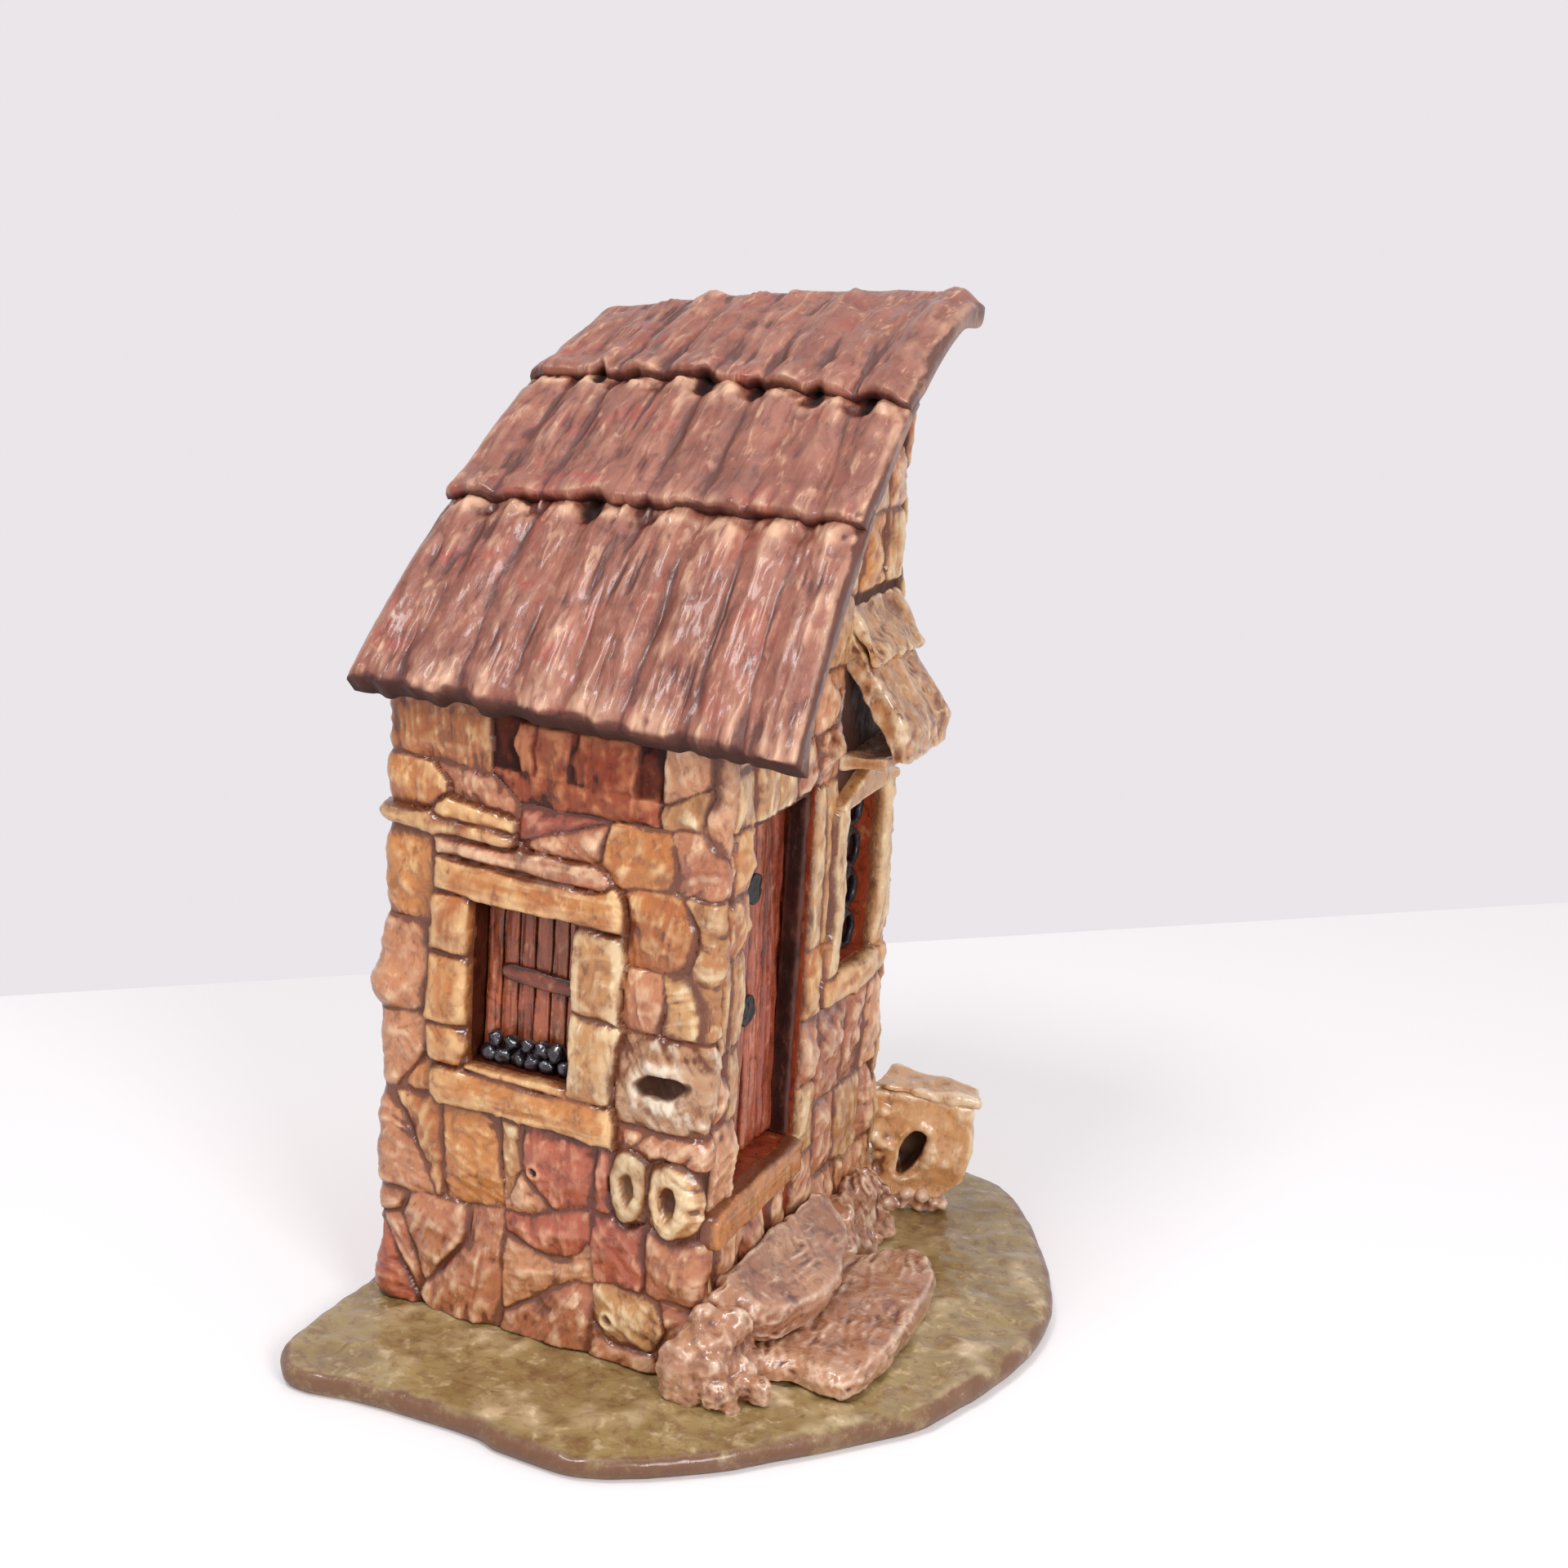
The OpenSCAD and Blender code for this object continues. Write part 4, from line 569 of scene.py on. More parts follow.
def relief_face(wall, entries, low, high, keep, pitch, seed, place=None):
    """A whole wall face as one modelled clay skin, cut into stones by wandering joints. Each point belongs to
    the nearest stone of the entries (node, material, style), and keep tells how far inside the skin it is."""
    stones = wall_layout(wall, entries)
    a, b = (np.arange(low[k], high[k] + pitch / 2, pitch) for k in (0, 1))
    flat = np.stack(np.meshgrid(a, b), axis=-1).reshape(-1, 2)
    deepened = lifted(flat, NOISE_PLANE)
    sway = np.column_stack([rough(deepened, 5.0, seed), rough(deepened, 5.0, seed + 7)])
    owner, nearest, joint = nearest_stones(flat + JOINT_SWAY * sway, stones)

    def of_stone(values):
        return np.array(list(values), float)[owner]

    def style(key, default):
        return of_stone(stone[3].get(key, default) for stone in stones)

    def chance(salt):
        return of_stone(one_value(seed + k * 23 + salt) for k in range(len(stones)))

    # Lumps, flat cuts and tool strokes of each stone
    spread = lifted(flat, owner * STONE_STEP)
    x, y = (flat - of_stone(area_centre(stone[1]) for stone in stones)).T
    sizes = np.sqrt(of_stone(abs(signed_area(stone[1])) for stone in stones)) / 2
    bumps = rough(spread, 4.4, seed) + 0.6 * noise(spread, 1.7, seed + 9)
    shape = style("lump", 0.3) * (bumps + 0.3 * noise(spread, 0.9, seed + 10))
    for j in range(FACETS):
        heading = 2 * math.pi * (chance(j) + j) / FACETS
        beyond = x * np.cos(heading) + y * np.sin(heading) - sizes * (0.1 + 0.6 * chance(j + 5))
        shape -= style("facet", 0.22) * chance(j + 9) * np.clip(beyond, 0, 2.5)
    angle = style("angle", -1)
    heading = np.where(angle < 0, 180 * chance(15), angle) * math.pi / 180
    along, across = x * np.cos(heading) + y * np.sin(heading), y * np.cos(heading) - x * np.sin(heading)
    turned = np.column_stack([along, across, owner * STONE_STEP])
    streaks = grooves(turned, (7.0, 0.95, 5.0), seed + 20, 0.5, (4.0, 0.5, 5.0))
    shape -= style("grain", 0.25) * streaks

    # Joints, bare clay far from stones, and the skin's own rim
    floor = 0.08 + 0.2 * noise(deepened, 3.0, seed + 30)
    cut = patches(deepened, 6.0, seed + 32, 0.6, 0.8, 0.15)
    rise = rounded(joint - floor, 0.95 * (1 + 0.7 * noise(deepened, 4.0, seed + 31)))
    bare = smoothstep(0.8, 2.0, nearest)
    inner = keep(flat)
    rim = rounded(inner, 0.7)
    height = of_stone(stone[2] for stone in stones) + style("proud", 0)
    z = height * (1 - 0.7 * cut * (1 - rise)) + (1 - cut * (1 - rise)) * (0.5 * clamp(joint / 3) + shape)
    z = between(z, 0.3, bare) * (0.5 + 0.5 * rim) + 0.04 * noise(spread, 0.7, seed + 33)
    pale, dark = np.zeros(len(flat)), np.zeros(len(flat))
    for k, stone in enumerate(stones):
        if "detail" in stone[3]:
            mine = np.flatnonzero(owner == k)
            added, pale[mine], dark[mine] = stone[3]["detail"](flat[mine], stone[1])
            z[mine] = np.maximum(z[mine] + added, 0.05)

    # Glaze that pools in joints and hollows and along the skin's rim; crests painted pale, partly as rubbed
    # glaze and partly as painted highlight; painted shade from the details' hollows, with deep joints and
    # bare clay painted dark
    field = z.reshape(len(b), len(a))
    raised = (field - evened(field, int(16 / pitch))).ravel()
    soak = 0.1 + 0.75 * patches(deepened, 3.4, seed + 35, 0.5, 0.7) ** 2
    film = patches(deepened, 5.0, seed + 36, 0.4, 0.9, 0.1)
    seam = np.exp(-np.maximum(joint - floor, 0) / soak)
    pool = (0.45 + 0.65 * cut) * seam + bare + 0.5 * (1 - rim)
    pool = clamp(pool + film * (clamp(-raised / 0.2) + 0.8 * clamp(streaks - 0.5)))
    # Crests painted pale: partly rubbed glaze, partly painted highlight
    pale = clamp(pale + 0.75 * clamp(raised / 0.2 - 0.25))
    crack = 0.3 * cut * smoothstep(0.55, 1, seam) * smoothstep(1.6, 0.8, nearest)
    dark = clamp(dark + crack + 0.75 * bare)
    tone = of_stone(one_value(seed * 3 + k * 17) for k in range(len(stones)))

    place = place or (lambda spots, out: wall.world(lifted(spots, out)))
    swayed = flat + SKIN_SWAY * sway
    top, foot = place(swayed, z), place(swayed, np.full(len(flat), -SKIN_DEPTH))
    nodes = [entry[0] for entry in entries]
    holder = np.array([nodes.index(stone[0]) for stone in stones])[owner]
    quads = grid_quads(len(b), len(a))
    quads = quads[(inner > 0)[quads].all(axis=1)]
    share_out(entries, holder, quads, top, foot, {"tone": tone, "pool": pool, "pale": pale, "dark": dark})


# Modelled lumps

def neighbours_mean(points, edges, degree):
    """Mean of the points next to each point."""
    total = np.zeros_like(points)
    np.add.at(total, edges[:, 0], points[edges[:, 1]])
    np.add.at(total, edges[:, 1], points[edges[:, 0]])
    return total / degree[:, None]


def vertex_normals(points, faces):
    """Unit normals of the points of a mesh of quads."""
    a, b, c, d = (points[faces[:, k]] for k in range(4))
    across = np.cross(c - a, d - b)
    normals = np.zeros_like(points)
    for k in range(4):
        np.add.at(normals, faces[:, k], across)
    return normals / np.maximum(np.linalg.norm(normals, axis=1), 1e-12)[:, None]


def remeshed(node, voxel, chunks):
    """An even mesh over a node's solids and angular chunks (centre, radius), in millimetres."""
    points, triangles = node_mesh(node)
    mesh = bpy.data.meshes.new("rough_" + node)
    mesh.from_pydata(points.tolist(), [], triangles.tolist())
    shape = bmesh.new()
    shape.from_mesh(mesh)
    for (centre, radius), (spin, tip, width) in zip(chunks, draws(1, count=len(chunks), each=3, step=3)):
        turn = Matrix.Rotation(6.3 * spin, 4, "Z") @ Matrix.Rotation(6.3 * tip, 4, "X")
        stretch = Matrix.Diagonal((1.25, 0.8 + 0.4 * width, 0.85, 1))
        bmesh.ops.create_icosphere(shape, subdivisions=1, radius=radius,
                                   matrix=Matrix.Translation(Vector(centre)) @ turn @ stretch)
    shape.to_mesh(mesh)
    shape.free()
    mesh.update()
    draft = placed("rough_" + node, mesh)
    remesh = draft.modifiers.new("even", "REMESH")
    remesh.mode = "VOXEL"
    remesh.voxel_size = voxel
    made = bpy.data.meshes.new_from_object(draft.evaluated_get(bpy.context.evaluated_depsgraph_get()))
    bpy.data.objects.remove(draft)
    bpy.data.meshes.remove(mesh)
    return made


def stroked(points, heading, seed):
    """Places across, along and up a heading in degrees from the y axis, swayed to bend the strokes."""
    turn = math.radians(heading)
    x, y, z = points.T
    sway = 0.8 * noise(points, 4.0, seed)
    across, along = x * math.cos(turn) + y * math.sin(turn), y * math.cos(turn) - x * math.sin(turn)
    return np.column_stack([across + sway + 0.35 * z, along + 0.3 * z, z + sway - 0.3 * across])


def nothing(points):
    return 0.0


def modelled(node, material, seed, voxel=0.35, rounds=4, lump=0.25, size=4.0, grain=None, grain_depth=0.0,
             heading=12, shape=np.array, darken=nothing, lighten=nothing, chunks=()):
    """Rebuilds a node as hand-modelled clay: rounded, lumpy, with tool marks along the grain."""
    made = remeshed(node, voxel, list(chunks))
    points = rows_of(made.vertices, "co", 3)
    edges = rows_of(made.edges, "vertices", 2, np.int32)
    faces = np.array([list(p.vertices) for p in made.polygons if len(p.vertices) == 4])
    bpy.data.meshes.remove(made)
    degree = np.maximum(np.bincount(edges.ravel(), minlength=len(points)), 1)
    for _ in range(rounds):
        points = 0.4 * points + 0.6 * neighbours_mean(points, edges, degree)
    points = shape(points)
    relief = lump * (noise(points, size, seed) + 0.5 * noise(points, size * 0.5, seed + 1))
    if grain:
        marks = stroked(points, heading, seed + 7)
        strokes = grooves(marks, np.array(grain), seed + 8, 0.6, np.array(grain) * 0.55)
        relief -= grain_depth * patches(points, 5.0, seed + 10, 0.6, 0.8, 0.1) * strokes
    relief = relief + 0.03 * noise(points, 0.7, seed + 12)
    points = points + vertex_normals(points, faces) * relief[:, None]
    wide = points
    for _ in range(6):
        wide = 0.3 * wide + 0.7 * neighbours_mean(wide, edges, degree)
    hollow = ((wide - points) * vertex_normals(points, faces)).sum(axis=1)
    film = patches(points, 4.0, seed + 13, 0.6, 0.9, 0.15)
    clay = Clay()
    # Crests painted pale, partly as rubbed glaze and partly as painted highlight, plus any painted glint; the
    # dark paint is painted shade, such as inside the oven's mouth
    clay.add(points, faces, tone=0.5 + 0.4 * noise(points, 9.0, seed + 15),
             pool=clamp(film * hollow / 0.1 + 0.05),
             pale=clamp(np.clip(-hollow / 0.12 - 0.15, 0, 0.85) + lighten(points)), dark=darken(points))
    clay.build(node, material, loose=True)


def painted_glint(spot, radius):
    """A painted highlight: how pale a patch around a spot is."""
    def lighten(points):
        reach = np.linalg.norm(points - spot, axis=1) / radius + 0.4 * noise(points, 1.8, 47)
        return 0.9 * smoothstep(1.1, 0.4, reach)
    return lighten


# Heaps of chunks, each with its middle and its radius

def corner_heap():
    """Chunks heaped around the corner between the window front and the door wall, up to the steps."""
    corner = np.array([HALF_W + 0.9, FRONT_Y + 0.6])
    for turn, far, rise, size in draws(301, count=36, each=4):
        angle = math.radians(between(-105, 75, turn))
        reach = 1.2 + 6.4 * far
        top = 12.5 * (1 - (reach / 9.5) ** 1.3)
        spot = corner + reach * np.array([math.cos(angle), math.sin(angle)])
        yield (*spot, SLAB_T + top * rise), between(2.0, 3.4, size)


def wall_heap():
    """Chunks heaped along the door wall behind the steps, higher toward the back."""
    low, high = node_box("wall_rocks")
    for share, rise, near, size in draws(501, count=60, each=4):
        top = between(6, 16, share)
        up = top * rise
        out = 3.6 * (1 - up / (top + 1)) * near
        spot = (low[0] + 0.4 + out, between(low[1] - 1, high[1] + 1, share), SLAB_T + up)
        yield spot, between(2.0, 2.9, size)


def settled(points):
    """Draws the heap's far end down and away from the oven's face."""
    far = smoothstep(17, 27, points[:, 1])
    moved = points.copy()
    moved[:, 1] -= 3.5 * far
    moved[:, 2] -= 0.35 * far * (points[:, 2] - SLAB_T)
    return moved


def step_fill(count=30):
    """Chunks that fill the seam between the upper step and the door wall."""
    low, high = node_box("upper_step")
    for k, (up, size) in enumerate(draws(601, count=count, each=2)):
        y = between(low[1] + 0.5, high[1] - 1.5, (k + 0.5) / count)
        yield (low[0] + 0.9, y, between(high[2] - 7, high[2] - 1.5, up)), between(1.2, 1.9, size)
    for k, (up,) in enumerate(draws(651, count=6, each=1)):
        yield (HALF_W + 1.2, FRONT_Y + 1.5 + 1.6 * k, SLAB_T + between(7.0, 12.0, up)), 2.1


# The oven's front face: how far it is turned, and its mouth's middle and half size along the face and up it
OVEN_TURN = math.radians(23)
OVEN_ALONG = np.array([math.cos(OVEN_TURN), math.sin(OVEN_TURN)])
OVEN_INWARD = np.array([-OVEN_ALONG[1], OVEN_ALONG[0]])
OVEN_LOW, OVEN_HIGH = node_box("oven_body")
OVEN_CORNER = np.array([HALF_W - 0.5, OVEN_LOW[1]])
MOUTH_ALONG, MOUTH_UP = 6.2, between(OVEN_LOW[2], OVEN_HIGH[2], 0.42)
MOUTH_HALF = (2.3, 4.2)
MOUTH_DEPTH = 5
MOUTH_LEAN = math.radians(-24)


def oven_mouth(points):
    """Painted shade inside the oven's mouth: how dark its inside is."""
    along, inward = ((points[:, :2] - OVEN_CORNER) @ np.column_stack([OVEN_ALONG, OVEN_INWARD])).T
    near = np.abs(along - MOUTH_ALONG) / 3.4 + np.abs(points[:, 2] - MOUTH_UP) / 5.6
    return 0.85 * smoothstep(0.9, 1.7, inward) * (near < 1) * (inward < MOUTH_DEPTH + 0.8)


def oven_spot(along, up, inward):
    return (*(OVEN_CORNER + along * OVEN_ALONG + inward * OVEN_INWARD), up)


def oven_rim(count=22):
    """Lumps around the oven's mouth and along the front face's left edge."""
    for k, (size,) in enumerate(draws(701, count=count, each=1, step=5)):
        turn = 2 * math.pi * k / count
        x, y = (MOUTH_HALF[0] + 0.7) * math.sin(turn), (MOUTH_HALF[1] + 0.5) * math.cos(turn)
        along = MOUTH_ALONG + x * math.cos(MOUTH_LEAN) - y * math.sin(MOUTH_LEAN)
        up = MOUTH_UP + x * math.sin(MOUTH_LEAN) + y * math.cos(MOUTH_LEAN)
        yield oven_spot(along, up, 0.1), between(0.45, 0.9, size)
    for up, along, inward, size in draws(801, count=count, each=4, step=5):
        height = between(OVEN_LOW[2] + 1, OVEN_HIGH[2] - 2, up)
        yield oven_spot(1.6 * along, height, 0.8 * inward), between(0.7, 1.5, size)


def oven_heap():
    """Rubble under the oven's front edge."""
    for along, up, inward, size in draws(901, count=34, each=4, step=5):
        height = between(SLAB_T, OVEN_LOW[2] + 0.6, up)
        yield oven_spot(between(-1, 12.5, along), height, between(-0.6, 2.5, inward)), between(0.7, 1.5, size)


# Glazes

def rgb(code):
    """A hex colour as linear light."""
    parts = [int(code[k:k + 2], 16) / 255 for k in (1, 3, 5)]
    return tuple(p / 12.92 if p <= 0.04045 else ((p + 0.055) / 1.055) ** 2.4 for p in parts) + (1,)


class Nodes:
    """Short calls for building the nodes of a material or a world."""

    def __init__(self, owner, shader="Principled BSDF"):
        owner.use_nodes = True
        self.tree = owner.node_tree
        self.shader = self.tree.nodes[shader]

    def put(self, socket, value):
        if isinstance(value, bpy.types.NodeSocket):
            self.tree.links.new(value, socket)
        else:
            socket.default_value = value

    def node(self, kind, **inputs):
        """A new node with inputs by name, where _ stands for a space."""
        node = self.tree.nodes.new("ShaderNode" + kind)
        for key, value in inputs.items():
            self.put(node.inputs[key.replace("_", " ")], value)
        return node

    def look(self, **inputs):
        """Sets inputs of the shader."""
        for key, value in inputs.items():
            self.put(self.shader.inputs[key.replace("_", " ")], value)

    def noise(self, place, size, detail, roughness, distortion, stretch=(1, 1, 1)):
        """Noise with features of a size in millimetres."""
        node = self.node("TexNoise", Scale=1 / (size * MM), Detail=detail, Roughness=roughness,
                         Distortion=distortion)
        if stretch != (1, 1, 1):
            place = self.node("Mapping", Scale=stretch, Vector=place).outputs["Vector"]
        self.put(node.inputs["Vector"], place)
        return node.outputs["Fac"]

    def paint(self, name):
        node = self.node("Attribute")
        node.attribute_name = name
        return node.outputs["Fac"]

    def math(self, kind, a, b):
        node = self.node("Math")
        node.operation = kind
        node.use_clamp = True
        self.put(node.inputs[0], a)
        self.put(node.inputs[1], b)
        return node.outputs[0]

    def sum(self, a, b):
        return self.math("ADD", a, b)

    def times(self, a, b):
        return self.math("MULTIPLY", a, b)

    def step(self, value, low, high, to_low=0.0, to_high=1.0):
        """A smooth step of a value between two limits."""
        node = self.node("MapRange", Value=value, From_Min=low, From_Max=high, To_Min=to_low, To_Max=to_high)
        node.interpolation_type = "SMOOTHSTEP"
        return node.outputs["Result"]

    def mix(self, share, a, b):
        node = self.node("Mix")
        node.data_type = "RGBA"
        for k, value in ((0, share), (6, a), (7, b)):
            self.put(node.inputs[k], value)
        return node.outputs[2]


# Colour of the painted shade in holes, hollows and gaps
HOLE_SHADE = rgb("#2A0F0A")


def glaze(name, main, second, light, wash, wash_share=0.7, film=0.45, gloss=(0.16, 0.4),
          grain=(1.6, 1.6, 0.7), coat=0.5, spot=None, shine=0.5, stones=None):
    """Glaze in two mottled tones over rough clay, with a dark wash in the hollows, pale crests that are
    partly rubbed glaze and partly painted highlight, and painted shade where the dark paint says.
    """
    material = bpy.data.materials.new(name + "_glaze_paint")
    n = Nodes(material)
    place = n.node("TexCoord").outputs["Object"]
    broad = n.noise(place, 6.5, 4, 0.6, 0.8)
    clouds = n.noise(place, 4.2, 4, 0.6, 1.6)
    patchy = n.noise(place, 2.5, 2.5, 0.5, 0.5, tuple(math.sqrt(part) for part in grain))
    fine = n.noise(place, 0.8, 3, 0.6, 0.4, grain)
    tone, pool, pale, hole_shade = (n.paint(key) for key in PAINTS)
    surface = n.sum(n.times(patchy, 0.68), n.times(fine, 0.32))
    turn = n.sum(n.times(broad, 0.7), n.times(tone, 0.4))
    colour = n.mix(n.step(turn, 0.36, 0.72), rgb(main), rgb(second))
    if stones:
        colour = n.mix(n.step(tone, 0.58, 0.66, 0, 0.75), colour, rgb(stones[0]))
        colour = n.mix(n.step(tone, 0.34, 0.26, 0, 0.75), colour, rgb(stones[1]))
    if spot:
        spotty = n.noise(place, 8.5, 3, 0.55, 0.8)
        colour = n.mix(n.step(spotty, 0.54, 0.68, 0, 0.65), colour, rgb(spot))
    colour = n.mix(n.step(clouds, 0.48, 0.66, 0, film), colour, rgb(wash))
    # Crests painted pale: the speckle of the clay's surface, and the pale paint, partly rubbed glaze and
    # partly painted highlight
    crest = n.sum(n.step(surface, 0.54, 0.7, 0, 0.55), n.times(pale, n.step(patchy, 0.3, 0.6, 0.4, 0.95)))
    colour = n.mix(crest, colour, rgb(light))
    hollows = n.step(surface, 0.45, 0.3, 0, wash_share)
    soaked = n.step(n.times(pool, n.step(fine, 0.2, 0.6, 0.6, 1.2)), 0.15, 0.9)
    colour = n.mix(n.times(n.sum(hollows, soaked), 0.9), colour, rgb(wash))
    # Painted shade: holes and hollows turn near black where the dark paint says, and lose their gloss
    colour = n.mix(hole_shade, colour, HOLE_SHADE)
    roughness = n.sum(n.step(patchy, 0.3, 0.7, *gloss), n.times(hole_shade, 0.5))
    coated = n.step(hole_shade, 0.0, 0.5, coat, 0.0)
    bumped = n.node("Bump", Strength=0.6, Distance=0.4 * MM, Height=surface).outputs["Normal"]
    n.look(Base_Color=colour, Roughness=roughness, Coat_Weight=coated, Coat_Roughness=0.08,
           Specular_IOR_Level=shine, Normal=bumped)
    return material


WASH = "#6C3620"
OCHRE = glaze("ochre", "#CA8244", "#B26632", "#F0C68E", WASH)
CREAM = glaze("cream", "#D09C64", "#B87C4A", "#F3D9AE", WASH)
MIXED = glaze("mixed", "#CC8A4E", "#B46E3C", "#F0CA98", WASH, stones=("#B66A4C", "#D6A872"))
PALE = glaze("pale", "#CCA684", "#B4825E", "#F4E4CE", WASH, film=0.6, shine=0.15)
PINK = glaze("pink", "#CC8C62", "#B56E4C", "#F4CEA8", WASH, film=0.38)
RED = glaze("red", "#BA6244", "#A65038", "#EAAA88", "#5C2616")
BRICK = glaze("brick", "#9A4024", "#7E2E18", "#C88058", "#34120A", coat=0.1, gloss=(0.3, 0.5), shine=0.3)
CLAY = glaze("clay", "#4E2418", "#3A1810", "#7C4A32", "#280E08", coat=0.0, gloss=(0.5, 0.7), shine=0.0)
HOOD = glaze("hood", "#D09A66", "#B07A50", "#F2D8B4", "#6A3422", wash_share=0.9, film=0.7)
ROOF = glaze("roof", "#A26450", "#884E3E", "#DEB092", "#542820", spot="#A2483C", film=0.35, gloss=(0.3, 0.55),
             coat=0.2, grain=(2.2, 0.5, 0.5))
DARK = glaze("dark", "#B4603E", "#8A4028", "#E4B088", "#38160C")
SHADE = glaze("shade", "#3A1A14", "#260F0B", "#6A3E32", "#120604", coat=0.1, gloss=(0.35, 0.6), shine=0.25)
BLACK = glaze("black", "#18141A", "#100E12", "#3C3842", "#08070A", gloss=(0.3, 0.5), coat=0.2, shine=0.3)
BEAD = glaze("bead", "#2A2630", "#1A181E", "#6E6C7C", "#0C0A0E", gloss=(0.08, 0.2), coat=0.9)
GRASS = glaze("grass", "#AA9262", "#8E7446", "#E0C8A2", "#724830", wash_share=0.6, film=0.5,
              gloss=(0.24, 0.5), coat=0.35, grain=(1, 1, 1))
ROCK = glaze("rock", "#C4906E", "#A67052", "#F2D2B8", "#5C3022", grain=(1, 1, 1))
OVEN = glaze("oven", "#E6B07A", "#D09660", "#FAE4C2", WASH, film=0.25)


# Roof: the arched, twisted slope of the solids, in millimetres. u runs from the left verge to the
# right one, t from the eave to the ridge.
COURSES = ("roof_lower_course", "roof_middle_course", "roof_upper_course")
EAVE_Z = node_box(COURSES[0])[0][2]
EAVE_Y = FRONT_Y - 5
RIDGE_Y = node_box(COURSES[2])[1][1]
RUN = RIDGE_Y - EAVE_Y
RISE_LEFT, RISE_RIGHT, RIDGE_BOW = 40.2, 48.7, 1.2
ARCH_LEFT, ARCH_RIGHT = 1.55, 1.95
VERGE_LEFT, VERGE_RIGHT = 3.5, 12.5
VERGE_LEFT_IN, VERGE_RIGHT_IN = 1.5, 4.5
ROOF_W = HALF_W * 2 + VERGE_LEFT + VERGE_RIGHT
TILE_T, BARREL_H, BARRELS = 2.4, 1.3, 8
# Where the courses start, at the left and at the right verge
COURSE_STARTS = [(0, 0), (0.355, 0.31), (0.685, 0.54), (1, 1)]
# How far a lip stands on the course below, and how far a course runs on under the next one
LIP_LIFT, UNDERLAP = 1.1, 2.4
# Length of the slope for each millimetre of its run
SLOPE = 1.3
# Hollows under the lips of the middle and the upper course: share of the way to the right verge, half width
CAVES = {1: [(0.37, 2.0)], 2: [(0.2, 1.0), (0.48, 1.1), (0.62, 1.3), (0.77, 1.3), (0.9, 1.6)]}
# Points across a barrel, and rows of points on the slope in millimetres
BARREL_POINTS, ROW_PITCH = 30, 0.42


def verges(t):
    """Where the left and the right verge are along the front."""
    return -HALF_W - VERGE_LEFT + VERGE_LEFT_IN * t, HALF_W + VERGE_RIGHT - VERGE_RIGHT_IN * t


def roof_point(u, t):
    """Point of the roof's underside and the unit normal there, without the bow's small effect on it."""
    rise = between(RISE_LEFT, RISE_RIGHT, u) + RIDGE_BOW * 4 * u * (1 - u)
    arch = between(ARCH_LEFT, ARCH_RIGHT, u)
    inner = clamp(1 - t)
    z = EAVE_Z + rise * (1 - inner ** arch)
    slope = np.arctan(rise * arch * np.maximum(inner, 0.015) ** (arch - 1) / RUN)
    point = np.stack([between(*verges(t), u), EAVE_Y + t * RUN, z], axis=-1)
    return point, np.stack([np.zeros_like(u), -np.sin(slope), np.cos(slope)], axis=-1)


def roof_height(x, y):
    """Height of the roof's underside over points of the ground plan."""
    t = clamp((y - EAVE_Y) / RUN)
    left, right = verges(t)
    return roof_point((x - left) / (right - left), t)[0][:, 2]


def caves(k, u):
    """Depth from 0 to 1 of the hollows under a course's lip."""
    return sum((bell((u - share) * ROOF_W / half) for share, half in CAVES.get(k, [])), 0 * u)


